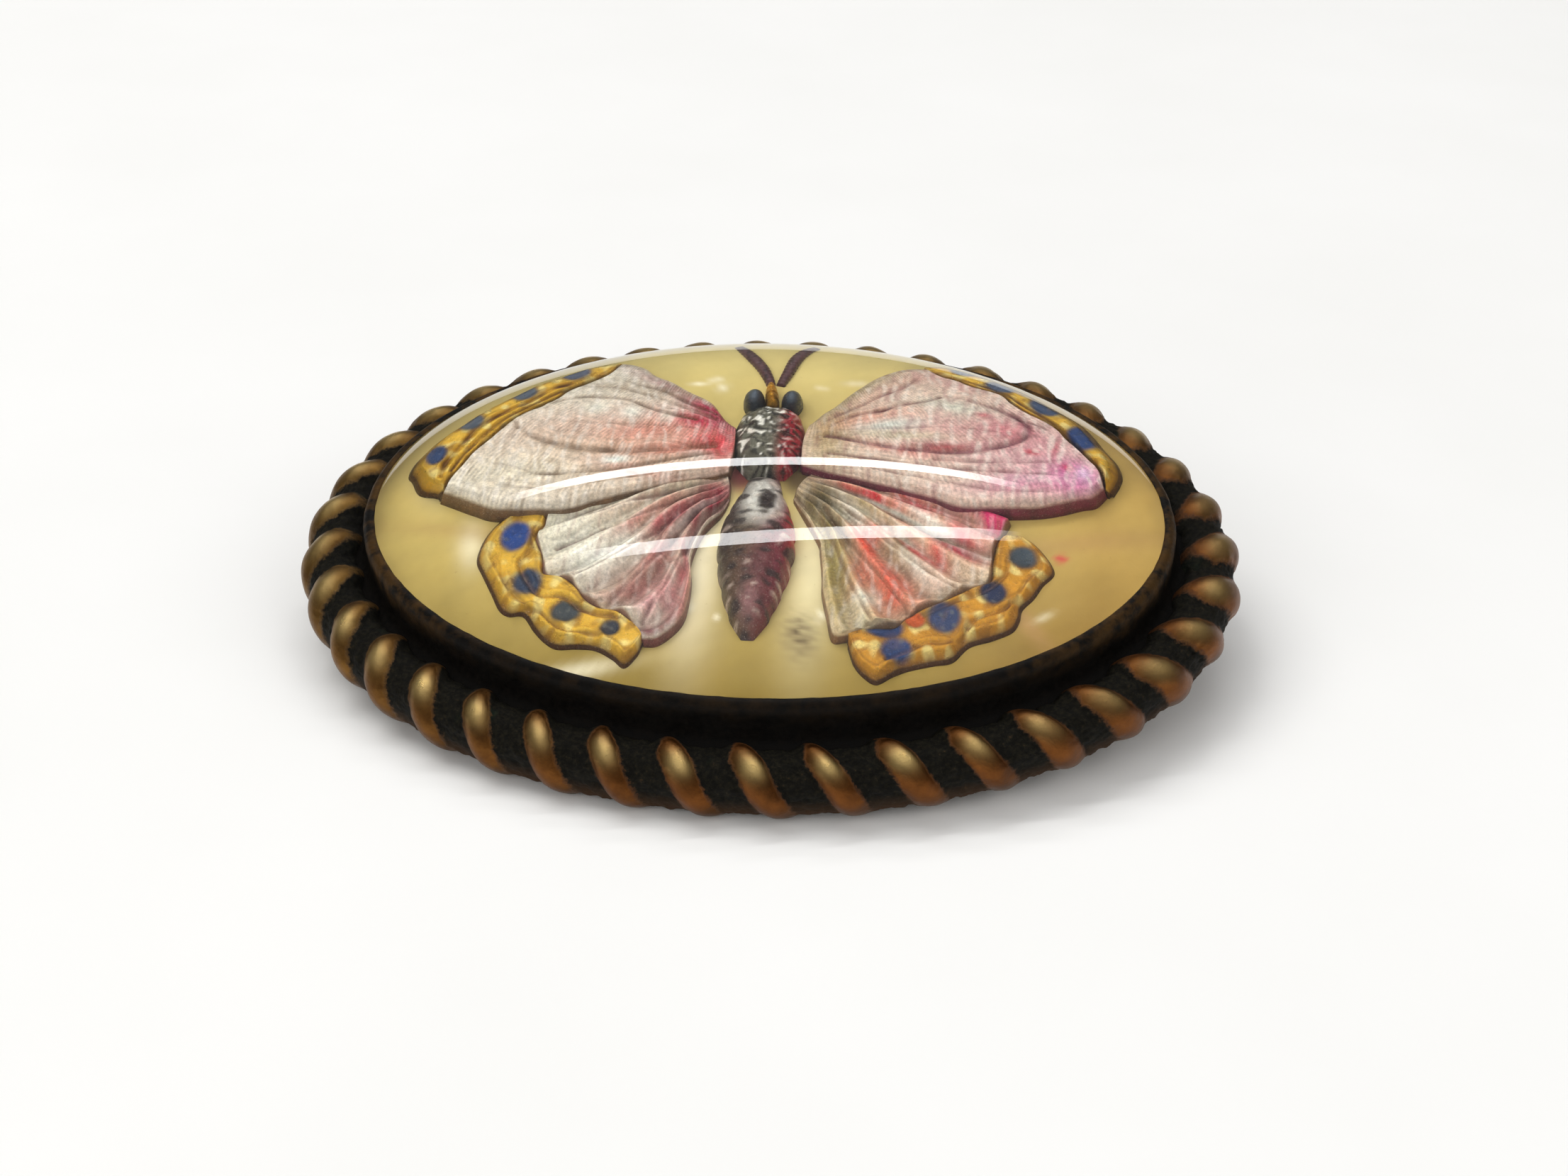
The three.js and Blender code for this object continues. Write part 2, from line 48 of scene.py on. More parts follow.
# ---- Heights and sizes, in millimetres ----
GROUND = 1.82  # top of the cream ground
BASE = 1.8  # the reliefs' flat undersides
DRAWN_AT = 0.8  # height above the ground at which the outlines are drawn
GLASS_LONG = 20.15  # half the length of the stone's oval
GLASS_SHORT = 14.8
GIRDLE = 4.75  # where the upright side ends and the crown begins
CROWN = 4.42  # how high the crown rises above that
FULLNESS = 1.06  # nearer 1, the crown meets the side more steeply
GROUND_LONG = 20.05
GROUND_SHORT = 14.7

ROPE_LONG = 22.4  # half the length of the oval that the rope's middle follows
ROPE_SHORT = 17.0
ROPE_HEIGHT = 1.8
ROPE_RIDGE = 1.74  # radius over the lobes
ROPE_CORE = 1.33  # radius of the grime packed between them
WIRE_RADIUS = 0.92  # of the wire's bare crown at the front, where it is thinnest
WIRE_RADIUS_GAIN = 0.9  # how much that grows towards the sides and rear
LOBE_PITCH = 3.26  # from one lobe to the next
ROPE_BUMPS = 38  # lobes in the whole rope
ROPE_START = 1.675  # where the first lobe lies, in lobes
ROPE_SLANT = 0.35  # how much steeper the wire lies across the outer side
ROPE_SLANT_FROM = 0.5  # where round the rope it is steepest, in radians
ROPE_UNEVEN = 0.292  # how far the lobes stray from even spacing, in lobes
ROPE_UNEVEN_AT = 0.578  # where that begins, in radians
RING_WIDER = 5.35  # how much longer each half of the plate's and bezel's ovals is than it is wide
BEZEL_ROUND = 18  # the mean radius used to spread wear round the bezel

FORE_BORDER_HEIGHT = 1.5
HIND_BORDER_HEIGHT = 0.6
VEIN_WIDEN = 1.35  # how much wider a vein is cut than it is drawn
EDGE_DROP = 0.62  # how far a gold border rounds down at its edge, as a share of its height
FOOT_INSET = 1.6  # how far in from the catch's near end it rests on the table
TABLE_GAP = 0.02  # left between the brooch and the table

# ---- Colours, from 0 to 255 ----
GOLD = (236, 190, 64)
AMBER_GOLD = (214, 154, 44)
PEARL_CAST = (0.92, 0.99, 0.97)  # the cool tint of the pearl paint, as a factor
WARM_WHITE = (1, 0.99, 0.97)  # of the soft lights, as linear light

# ---- Camera ----
TARGET = Vector((1.06, -2.70, 1.8)) * MM
DISTANCE = 125 * MM
ELEVATION = math.radians(38.62)
AZIMUTH = math.radians(6.0)
ROLL = math.radians(-1.235)
LENS = 56.64


def srgb(red, green, blue):
    """A colour from 0 to 255, as linear light."""
    parts = np.array([red, green, blue]) / 255
    return np.where(parts <= 0.04045, parts / 12.92, ((parts + 0.055) / 1.055) ** 2.4)


# ---- Curves and fields in plan ----
def spline(points, count):
    """A smooth line through the points, as count points at even spacing."""
    p = np.array(points, float)
    p = np.vstack([2 * p[0] - p[1], p, 2 * p[-1] - p[-2]])
    fine = []
    for a, b, c, d in zip(p, p[1:], p[2:], p[3:]):
        t = np.linspace(0, 1, 24, endpoint=False)[:, None]
        bend = (2 * a - 5 * b + 4 * c - d) * t**2 + (3 * b - 3 * c + d - a) * t**3
        fine.append(0.5 * (2 * b + (c - a) * t + bend))
    fine = np.vstack([*fine, p[-2:-1]])
    run = np.concatenate([[0], np.cumsum(np.hypot(*np.diff(fine, axis=0).T))])
    at = np.linspace(0, run[-1], count)
    return np.stack([np.interp(at, run, fine[:, 0]), np.interp(at, run, fine[:, 1])], axis=1)


def distance_to(xy, line):
    """Distance of each point from a polyline, and how far along it the nearest place is, from 0 to 1."""
    best, part = np.full(xy.shape[:-1], 1e9), np.zeros(xy.shape[:-1])
    for number, (a, b) in enumerate(zip(line, line[1:])):
        along = b - a
        t = np.clip(((xy - a) @ along) / max(along @ along, 1e-12), 0, 1)
        away = np.linalg.norm(xy - a - t[..., None] * along, axis=-1)
        part = np.where(away < best, (number + t) / (len(line) - 1), part)
        best = np.minimum(best, away)
    return best, part


def ripple(xy, size, seed, waves=10):
    """Smooth noise from -1 to 1 with features of about this size."""
    rng = np.random.default_rng(seed)
    total = np.zeros(xy.shape[:-1])
    for _ in range(waves):
        turn, phase = rng.uniform(0, 2 * math.pi, 2)
        pitch = size * rng.uniform(0.7, 1.8)
        along = xy[..., 0] * math.cos(turn) + xy[..., 1] * math.sin(turn)
        total += np.sin(along * 2 * math.pi / pitch + phase)
    return total / math.sqrt(waves * 2)


def dab(xy, x, y, wide, tall, turn=0, hard=1):
    """1 inside a soft ellipse and 0 outside it."""
    c, s = math.cos(math.radians(turn)), math.sin(math.radians(turn))
    dx, dy = xy[..., 0] - x, xy[..., 1] - y
    reach = ((dx * c + dy * s) / wide) ** 2 + ((dy * c - dx * s) / tall) ** 2
    return np.exp(-0.7 * reach**hard)


def mix(colour, other, amount):
    """Lays one colour over another, by an amount from 0 to 1 at each point."""
    return colour + (np.asarray(other) - colour) * np.clip(amount, 0, 1)[..., None]


def raised(points, height):
    """Moves points drawn at one height to where they lie at another."""
    p = np.array(points, float)
    p[..., 1] -= (height - DRAWN_AT) * (0.6 - 0.028 * p[..., 1])
    return p


# ---- Meshes ----
def make_mesh(name, vertices, faces):
    """A smooth-shaded piece from vertices in millimetres, on the brooch's own body."""
    mesh = bpy.data.meshes.new(name)
    mesh.from_pydata((np.asarray(vertices) * MM).tolist(), [], faces)
    mesh.update()
    mesh.polygons.foreach_set("use_smooth", [True] * len(mesh.polygons))
    piece = bpy.data.objects.new(name, mesh)
    bpy.context.scene.collection.objects.link(piece)
    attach(piece, BODY)
    return piece


def give_colour(piece, colours):
    data = np.ones((len(piece.data.vertices), 4))
    data[:, :3] = np.asarray(colours).reshape(-1, 3)
    layer = piece.data.color_attributes.new("paint", "FLOAT_COLOR", "POINT")
    layer.data.foreach_set("color", data.ravel())


def give_value(piece, name, values):
    layer = piece.data.attributes.new(name, "FLOAT", "POINT")
    layer.data.foreach_set("value", np.asarray(values, float).ravel())


def grid_faces(rows, columns, wrap_rows=False, wrap_columns=False):
    faces = []
    for i in range(rows if wrap_rows else rows - 1):
        for j in range(columns if wrap_columns else columns - 1):
            a = i * columns + j
            b = i * columns + (j + 1) % columns
            c = (i + 1) % rows * columns + (j + 1) % columns
            d = (i + 1) % rows * columns + j
            faces.append((a, b, c, d))
    return faces


def oval_turning(profile, segments, squeeze):
    """Turns (reach, height) pairs into an oval body. squeeze gives the short reach for a long one."""
    turn = np.linspace(0, 2 * math.pi, segments, endpoint=False)
    rows = []
    for reach, height in profile:
        level = np.full(segments, height)
        rows.append(np.stack([reach * np.cos(turn), squeeze(reach) * np.sin(turn), level], axis=1))
    return np.array(rows)


def closed_turning(name, profile, segments, squeeze, node):
    """An oval body whose profile starts and ends on the axis."""
    rows = oval_turning(profile, segments, squeeze)
    count = len(profile)
    vertices = np.vstack([rows.reshape(-1, 3), [[0, 0, profile[0][1]], [0, 0, profile[-1][1]]]])
    faces = grid_faces(count, segments, wrap_columns=True)
    low, high = count * segments, count * segments + 1
    for j in range(segments):
        after = (j + 1) % segments
        faces.append((low, after, j))
        faces.append((high, (count - 1) * segments + j, (count - 1) * segments + after))
    piece = make_mesh(name, vertices, faces)
    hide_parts(node)
    return piece


# ---- Materials ----
class Nodes:
    """Adds nodes to a node tree, one at a time."""

    def __init__(self, tree):
        self.tree = tree

    def link(self, value, socket):
        if isinstance(value, bpy.types.NodeSocket):
            self.tree.links.new(value, socket)
        elif hasattr(value, "__len__"):
            socket.default_value = (*value, 1)[: len(socket.default_value)]
        else:
            socket.default_value = value

    def node(self, kind, inputs=(), **settings):
        """A node with its settings, and its inputs set or linked by name or number."""
        node = self.tree.nodes.new(f"ShaderNode{kind}")
        for name, value in settings.items():
            setattr(node, name, value)
        for socket, value in dict(inputs).items():
            self.link(value, node.inputs[socket])
        return node

    def split(self, vector, axis):
        return self.node("SeparateXYZ", {0: vector}).outputs[axis]

    def span(self, value, low, high, start=0, end=1):
        ends = {"From Min": low, "From Max": high, "To Min": start, "To Max": end}
        return self.node("MapRange", {"Value": value, **ends}).outputs[0]

    def math(self, kind, a, b=0.0, clamp=False):
        return self.node("Math", {0: a, 1: b}, operation=kind, use_clamp=clamp).outputs[0]


class Maker(Nodes):
    """Builds one material round its Principled shader."""

    def __init__(self, name):
        self.material = bpy.data.materials.new(name)
        self.material.use_nodes = True
        super().__init__(self.material.node_tree)
        self.shader = self.tree.nodes["Principled BSDF"]
        self.where = self.node("TexCoord").outputs["Object"]

    def noise(self, pitch, detail=3, rough=0.55):
        """Noise from 0 to 1 with features of this size in millimetres."""
        place = self.node("Mapping", {"Vector": self.where, "Scale": [1 / (pitch * MM)] * 3}).outputs[0]
        inputs = {"Vector": place, "Scale": 1, "Detail": detail, "Roughness": rough}
        return self.node("TexNoise", inputs).outputs["Fac"]

    def value(self, name):
        """A number stored at each of the piece's points."""
        return self.node("Attribute", attribute_name=name).outputs["Fac"]

    def paint(self):
        """The colour stored at each of the piece's points."""
        return self.node("Attribute", attribute_name="paint").outputs["Color"]

    def blend(self, amount, first, second, kind="MIX"):
        inputs = {"Factor": amount, "A": first, "B": second}
        return self.node("Mix", inputs, data_type="RGBA", blend_type=kind).outputs["Result"]

    def bump(self, height, depth, under=None):
        """A bump of this depth in millimetres, over another one if it is given."""
        inputs = {"Height": height, "Distance": depth * MM, "Strength": 1}
        if under is not None:
            inputs["Normal"] = under
        return self.node("Bump", inputs).outputs[0]

    def finish(self, **sockets):
        for name, value in sockets.items():
            self.link(value, self.shader.inputs[name.replace("_", " ")])
        return self.material


def metal_material(name, light, dark, roughness, patina):
    """Plain metal with dull patches and a fine grain."""
    m = Maker(name)
    wear = m.span(m.noise(2.2, 5), 0.35, 0.65)
    colour = m.blend(m.math("MULTIPLY", wear, patina), light, dark)
    fine = m.noise(0.25, 4)
    return m.finish(
        Base_Color=m.blend(m.span(fine, 0.3, 0.7, 0, 0.25), colour, dark),
        Metallic=1.0,
        Roughness=m.span(m.noise(0.9, 3), 0.3, 0.7, roughness - 0.08, roughness + 0.12),
        Normal=m.bump(fine, 0.012),
    )


def rope_material():
    """Brass on the lobes, worn and with a painted highlight on their upper sides, black grime between them,
    brown tarnish along the foot.
    """
    m = Maker("rope_brass")
    fields = ("ridge", "rubbed", "inner", "foot", "warm")
    ridge, rubbed, inner, foot, warm = (m.value(field) for field in fields)
    grit = m.noise(0.24, 6, rough=0.75)
    speck = m.noise(0.11, 4, rough=0.8)
    blotch = m.noise(1.3, 4, rough=0.65)
    brass = m.blend(warm, srgb(126, 94, 46), srgb(120, 72, 32))
    brass = m.blend(m.span(blotch, 0.36, 0.66, 0, 0.65), brass, srgb(70, 42, 20))
    brass = m.blend(m.math("MULTIPLY", foot, 0.7), brass, srgb(84, 62, 34))
    # painted highlight: pale gold laid on the lobes' upper sides, partly rubbed wear and partly the highlight
    # of the lights above
    brass = m.blend(m.math("MULTIPLY", rubbed, 0.95), brass, srgb(228, 196, 128))
    brass = m.blend(m.span(speck, 0.55, 0.8, 0, 0.35), brass, srgb(60, 44, 28))
    crust = m.blend(m.span(grit, 0.45, 0.68), srgb(7, 6, 3), srgb(30, 27, 17))
    crust = m.blend(m.span(speck, 0.62, 0.74, 0, 0.45), crust, srgb(84, 76, 58))
    crust = m.blend(m.span(m.noise(2.6, 2), 0.66, 0.8, 0, 0.35), crust, srgb(22, 52, 36))
    crust = m.blend(m.math("MULTIPLY", foot, 0.75), crust, srgb(76, 50, 26))
    edge = m.math("ADD", ridge, m.span(grit, 0.25, 0.75, -0.2, 0.2))
    edge = m.math("SUBTRACT", edge, m.math("MULTIPLY", inner, 0.75))
    shown = m.span(edge, 0.1, 0.42)
    return m.finish(
        Base_Color=m.blend(shown, crust, brass),
        Metallic=m.span(shown, 0, 1, 0.0, 0.95),
        Specular_IOR_Level=m.span(shown, 0, 1, 0.2, 0.5),
        Roughness=m.math("SUBTRACT", m.span(shown, 0, 1, 0.75, 0.38), m.math("MULTIPLY", rubbed, 0.12)),
        Normal=m.bump(m.math("MULTIPLY", grit, m.span(shown, 0, 1, 1, 0.25)), 0.09, m.bump(speck, 0.012)),
    )


def paint_material(name, metallic, roughness, sparkle, glitter):
    """Metallic paint: the piece's own colours broken up by flakes, with a painted pale glint on some of them.
    """
    m = Maker(name)
    fleck = m.noise(0.085, 4, rough=0.8)
    grain = m.noise(0.2, 4, rough=0.75)
    cloud = m.noise(1.3, 4)
    grainy = m.span(grain, 0.32, 0.68, 1 - 0.28 * glitter, 1 + 0.26 * glitter)
    shade = m.math("MULTIPLY", grainy, m.span(cloud, 0.3, 0.7, 0.92, 1.06))
    colour = m.blend(1.0, m.paint(), shade, "MULTIPLY")
    # painted glints: some flakes are given a pale colour, as if catching the light
    colour = m.blend(m.span(fleck, 0.58, 0.72, 0, 0.55 * glitter), colour, srgb(255, 246, 226))
    colour = m.blend(m.span(fleck, 0.42, 0.3, 0, 0.4 * glitter), colour, srgb(92, 70, 62))
    return m.finish(
        Base_Color=colour,
        Metallic=metallic,
        Roughness=m.span(cloud, 0.3, 0.7, roughness - 0.08, roughness + 0.1),
        Normal=m.bump(fleck, sparkle, m.bump(grain, 1.5 * sparkle)),
    )


def glass_material():
    """Clear glass. Its one shader node stands alone, so the unused texture node goes."""
    m = Maker("clear_glass")
    m.tree.nodes.remove(m.where.node)
    m.shader.inputs["Base Color"].default_value = (1, 0.995, 0.97, 1)
    m.shader.inputs["Roughness"].default_value = 0.0
    m.shader.inputs["IOR"].default_value = 1.5
    m.shader.inputs["Transmission Weight"].default_value = 1.0
    return m.material


def floor_material():
    m = Maker("pale_floor")
    return m.finish(
        Base_Color=m.blend(m.span(m.noise(30, 3), 0.3, 0.7, 0, 1), (0.9, 0.9, 0.89), (0.93, 0.93, 0.925)),
        Roughness=0.75,
    )


# ---- Setting: plate, bezel, rope ----
def ring_short(reach):
    """The short reach of the bezel's ovals for a long one."""
    return reach - RING_WIDER


def ellipse_by_length(long, short, count):
    """Points, outward normals and fractions round an ellipse, clockwise from +Y."""
    turn = np.linspace(math.pi / 2, math.pi / 2 - 2 * math.pi, 4001)
    line = np.stack([long * np.cos(turn), short * np.sin(turn)], axis=1)
    run = np.concatenate([[0], np.cumsum(np.hypot(*np.diff(line, axis=0).T))])
    at = np.linspace(0, run[-1], count, endpoint=False)
    angle = np.interp(at, run, turn)
    point = np.stack([long * np.cos(angle), short * np.sin(angle)], axis=1)
    out = np.stack([np.cos(angle) / long, np.sin(angle) / short], axis=1)
    return point, out / np.linalg.norm(out, axis=1, keepdims=True), at / run[-1]


def make_rope():
    """A wire wound round a core, its turns half buried in grime, worn smooth along the outer foot."""
    steps, sides = ROPE_BUMPS * 28, 84  # along the rope and round it
    point, out, part = ellipse_by_length(ROPE_LONG, ROPE_SHORT, steps)
    around = np.linspace(-math.pi, math.pi, sides, endpoint=False)[None, :]
    middle = math.sin(math.pi / 4 - ROPE_SLANT_FROM)
    slanted = around + ROPE_SLANT * (np.sin(around - ROPE_SLANT_FROM) - middle)
    lobe = part[:, None] * ROPE_BUMPS - slanted / (2 * math.pi) + ROPE_START
    lobe = lobe + ROPE_UNEVEN * np.sin(2 * math.pi * lobe / ROPE_BUMPS + ROPE_UNEVEN_AT)
    flat = np.stack([part[:, None] * 124 + 0 * around, around * 1.7 + 0 * part[:, None]], axis=-1)
    away = (lobe - np.round(lobe)) * LOBE_PITCH + 0.07 * ripple(flat, 2.6, 4)
    radius = WIRE_RADIUS + WIRE_RADIUS_GAIN * np.clip((point[:, 1:] + 15) / 14, 0, 1)
    wire = ROPE_RIDGE - radius + np.sqrt(np.clip(radius**2 - away**2, 0, None))
    foot = np.clip((-around - 0.1) / 0.9, 0, 1)
    inner = np.clip((around - 1.45) / 0.7, 0, 1)
    core = ROPE_CORE + 0.3 * foot * (around > -2.4) + 0.12 * inner
    soft = 14  # the higher, the sharper the corner between wire and grime
    reach = (np.maximum(wire, 0) ** soft + core**soft) ** (1 / soft)
    ridge = np.clip((reach - core) / (ROPE_RIDGE - core), 0, 1)
    pitted = ripple(flat, 0.62, 3, 14) + 0.6 * ripple(flat, 0.34, 5, 14)
    reach = reach + (0.05 * pitted - 0.05) * (1 - ridge) - 0.012 * (1 + ripple(flat, 1.4, 6))
    xy = point[:, None, :] + out[:, None, :] * (reach * np.cos(around))[..., None]
    level = ROPE_HEIGHT + reach * np.sin(around)
    vertices = np.concatenate([xy, level[..., None]], axis=-1).reshape(-1, 3)
    piece = make_mesh("rope_border_wires", vertices, grid_faces(steps, sides, True, True))
    give_value(piece, "ridge", ridge)
    # where the painted highlight lies: the lobes' upper sides, partly rubbed wear and partly painted
    # highlight
    rubbed = np.exp(-(((around - 1.15) / 0.34) ** 2)) * ridge**2 * (0.75 + 0.35 * ripple(flat, 2.2, 7))
    give_value(piece, "rubbed", np.clip(rubbed, 0, 1))
    give_value(piece, "inner", inner + 0 * part[:, None])
    give_value(piece, "foot", foot + 0 * part[:, None])
    give_value(piece, "warm", np.clip(0.5 + xy[..., 0] / 34 - xy[..., 1] / 30, 0, 1))
    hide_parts("rope_border")
    piece.data.materials.append(rope_material())


def make_bezel():
    """The wall round the stone, its rim rolled inwards, and a fillet of solder where it meets the rope."""
    profile = [
        (20.2, 0.86), (21.75, 0.86), (21.95, 1.5), (21.8, 2.2), (21.4, 2.55), (21.0, 2.72), (20.74, 3.0),
        (20.62, 3.4), (20.6, 3.8), (20.62, 4.1), (20.64, 4.3), (20.62, 4.5), (20.56, 4.66), (20.46, 4.78),
        (20.34, 4.86), (20.2, 4.88), (20.08, 4.86), (20.0, 4.8), (19.98, 4.72), (20.08, 4.6), (20.17, 4.4),
    ]
    segments = 288
    rows = oval_turning(profile, segments, ring_short)
    reach = np.hypot(rows[..., 0], rows[..., 1])[..., None]
    place = np.stack([np.arctan2(rows[..., 1], rows[..., 0]) * BEZEL_ROUND, rows[..., 2]], axis=-1)
    worn = 0.022 * ripple(place, 2.2, 71) + 0.012 * ripple(place, 0.8, 72)
    high = np.clip((rows[..., 2] - 3.0) / 1.0, 0, 1) * (rows[..., 2] < 4.86)
    rows[..., :2] *= 1 + (worn * high)[..., None] / reach
    piece = make_mesh("bezel_wall", rows.reshape(-1, 3), grid_faces(len(profile), segments, True, True))
    side = np.clip((rows[..., 1] + 13) / 6, 0.12, 1)
    give_value(piece, "rim", np.clip((rows[..., 2] - 3.5) / 1.2, 0, 1) * side)
    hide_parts("bezel_collar")
    m = Maker("dark_bezel")
    scuff = m.noise(1.1, 5, rough=0.65)
    fine = m.noise(0.3, 5, rough=0.7)
    colour = m.blend(m.span(fine, 0.4, 0.7), srgb(4, 3, 2), srgb(14, 11, 8))
    bare = m.math("MULTIPLY", m.span(scuff, 0.4, 0.68), m.value("rim"))
    colour = m.blend(m.math("MULTIPLY", bare, 0.85), colour, srgb(96, 70, 38))
    m.shader.inputs["Specular IOR Level"].default_value = 0.15
    piece.data.materials.append(
        m.finish(
            Base_Color=colour,
            Metallic=m.span(bare, 0, 1, 0.0, 0.9),
            Roughness=m.span(fine, 0.3, 0.7, 0.5, 0.7),
            Normal=m.bump(fine, 0.03),
        )
    )


def make_plate():
    reach = 20.5
    narrow = (reach - RING_WIDER) / reach
    profile = [(reach - 0.25, 0.0), (reach - 0.08, 0.05), (reach, 0.2), (reach, 0.6), (reach - 0.05, 0.8)]
    piece = closed_turning(
        "back_plate_sheet", profile, 192, lambda long: long * narrow, "back_plate"
    )
    brass = metal_material("plate_brass", srgb(150, 118, 66), srgb(64, 50, 34), 0.42, 0.9)
    piece.data.materials.append(brass)


# ---- Stone ----
def like_glass(reach):
    """The short reach of the stone's ovals for a long one."""
    return reach * GLASS_SHORT / GLASS_LONG


def make_glass():
    """The dome: an upright girdle, then a crown whose fullness sets how soon it turns over."""
    floor = math.sqrt(FULLNESS**2 - 1)
    profile = [(GLASS_LONG, BASE), (GLASS_LONG, 3.2), (GLASS_LONG, GIRDLE - 0.04)]
    steps = 56
    for i in range(steps):
        reach = math.cos(i / steps * math.pi / 2)
        rise = (math.sqrt(FULLNESS**2 - reach**2) - floor) / (FULLNESS - floor)
        profile.append((reach * GLASS_LONG, GIRDLE + CROWN * rise))
    profile.append((GLASS_LONG * 0.004, GIRDLE + CROWN))
    piece = closed_turning("glass_dome", profile, 224, like_glass, "glass_cabochon")
    piece.visible_shadow = False
    piece.data.materials.append(glass_material())


# Painted glints and reflections on the cream: (x, y, half width, half height, turn, amount).
PAINTED_GLINTS = (
    (-13.9, -2.7, 0.55, 1.2, 10, 0.6), (-8.2, -10.2, 2.1, 0.35, 14, 0.75), (-16.6, 1.8, 0.7, 1.4, 20, 0.3),
    (13.4, -5.4, 0.4, 0.16, 40, 0.45), (-4.3, 8.9, 0.32, 0.14, 0, 0.9), (-3.5, 9.3, 0.25, 0.2, 30, 0.8),
    (-3.1, 8.6, 0.2, 0.3, 0, 0.8), (3.6, 9.5, 0.5, 0.2, 8, 0.5), (1.9, 8.9, 0.2, 0.16, 0, 0.6),
    (-2.95, -6.4, 0.13, 0.3, -8, 1), (3.15, -6.6, 0.12, 0.3, 8, 1), (-1.6, -7, 0.1, 0.16, 0, 0.9),
)


def make_ground():
    """The cream layer, turned up a little where it meets the stone's side."""
    rings, segments = 110, 220
    turn = np.linspace(0, 2 * math.pi, segments, endpoint=False)
    reach = np.concatenate([np.linspace(0.002, 1, rings), [1.0, 1.0]])
    height = np.concatenate([np.full(rings, GROUND), [1.35, 1.35]])
    reach[-1] = 0.002
    x = GROUND_LONG * reach[:, None] * np.cos(turn)
    y = GROUND_SHORT * reach[:, None] * np.sin(turn)
    z = np.repeat(height[:, None], segments, axis=1)
    xy = np.stack([x, y], axis=-1)
    z[:rings] += 0.02 * ripple(xy[:rings], 6, 11) * (reach[:rings, None] < 0.97)
    vertices = np.stack([x, y, z], axis=-1).reshape(-1, 3)
    faces = grid_faces(len(reach), segments, wrap_columns=True)
    faces.append(tuple(range(segments)))
    last = (len(reach) - 1) * segments
    faces.append(tuple(last + j for j in reversed(range(segments))))
    piece = make_mesh("cream_ground_layer", vertices, faces)

    colour = layered(xy, (214, 192, 116), (
        # painted shade: darker towards the front, away from the lights behind; the next layer makes it paler
        # towards the rear
        ((138, 116, 48), np.clip((2 - y) / 14, 0, 1)),
        ((212, 200, 138), np.clip((y - 4) / 11, 0, 1) * 0.85),
        ((182, 146, 74), np.clip((x - 8) / 8, 0, 1) * 0.7),
        ((116, 86, 34), dab(xy, 14.5, -8.5, 6.5, 3.6, 40) * 0.55),
        ((240, 230, 196), dab(xy, -2.9, -3.4, 1.0, 4.4) * 0.95),
        ((230, 220, 176), dab(xy, 2.5, -3.4, 1.0, 4.4) * 0.95),
    ))
    # painted glints and reflections: pale cream dabs
    colour = touches(colour, xy, ((*glint[:5], (250, 244, 214), glint[5]) for glint in PAINTED_GLINTS))
    # where the painted shade near the rim lies: it starts further in at the front
    rim = np.hypot(x / GROUND_LONG, y / GROUND_SHORT) + 0.012 * ripple(xy, 2.2, 12)
    begins = 0.91 - 0.16 * np.clip(-y / 12, 0, 1) ** 2
    edge = np.clip((rim - begins) / 0.085, 0, 1) ** 1.4
    for tint, amount in (
        ((104, 88, 62), dab(xy, 2.3, -7.8, 0.6, 1.0, 12) * (0.75 + 0.4 * ripple(xy, 0.5, 5))),
        ((104, 26, 46), dab(xy, -1.4, 2.1, 1.0, 1.3, 0, 2) * 0.95),
        ((84, 66, 42), dab(xy, 1.4, 2.0, 0.9, 1.2, 0, 2) * 0.95),
        ((206, 50, 70), dab(xy, 14.1, -1.8, 0.3, 0.26, 0, 2) * 0.85),
        ((196, 150, 110), dab(xy, 12.5, -5.7, 1.6, 0.35, -50) * 0.4),
        ((168, 132, 84), dab(xy, 15, -0.6, 4, 0.5, 20) * 0.5),
        ((166, 134, 84), dab(xy, -13.5, -2.0, 4, 0.45, -12) * 0.45),
        # painted shade: the cream darkens to brown towards its rim, most at the front, where it meets the
        # bezel
        ((74, 52, 24), edge * 0.9 * np.clip(0.6 - y / 18, 0.2, 1)),
    ):
        colour = mix(colour, srgb(*tint), amount)
    colour = colour * (1 + 0.05 * ripple(xy, 3.0, 8) + 0.03 * ripple(xy, 0.9, 9))[..., None]
    give_colour(piece, colour)
    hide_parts("cream_ground")
    m = Maker("cream_lacquer")
    m.shader.inputs["Specular IOR Level"].default_value = 0.1
    cloud = m.noise(2.4, 5)
    speck = m.noise(0.22, 4, rough=0.7)
    tone = m.blend(m.span(cloud, 0.35, 0.7, 0, 0.18), m.paint(), (0.86, 0.8, 0.68), "MULTIPLY")
    tone = m.blend(m.span(speck, 0.66, 0.76, 0, 0.5), tone, srgb(140, 110, 66))
    piece.data.materials.append(
        m.finish(Base_Color=tone, Roughness=m.span(cloud, 0.3, 0.7, 0.42, 0.6), Normal=m.bump(speck, 0.01))
    )


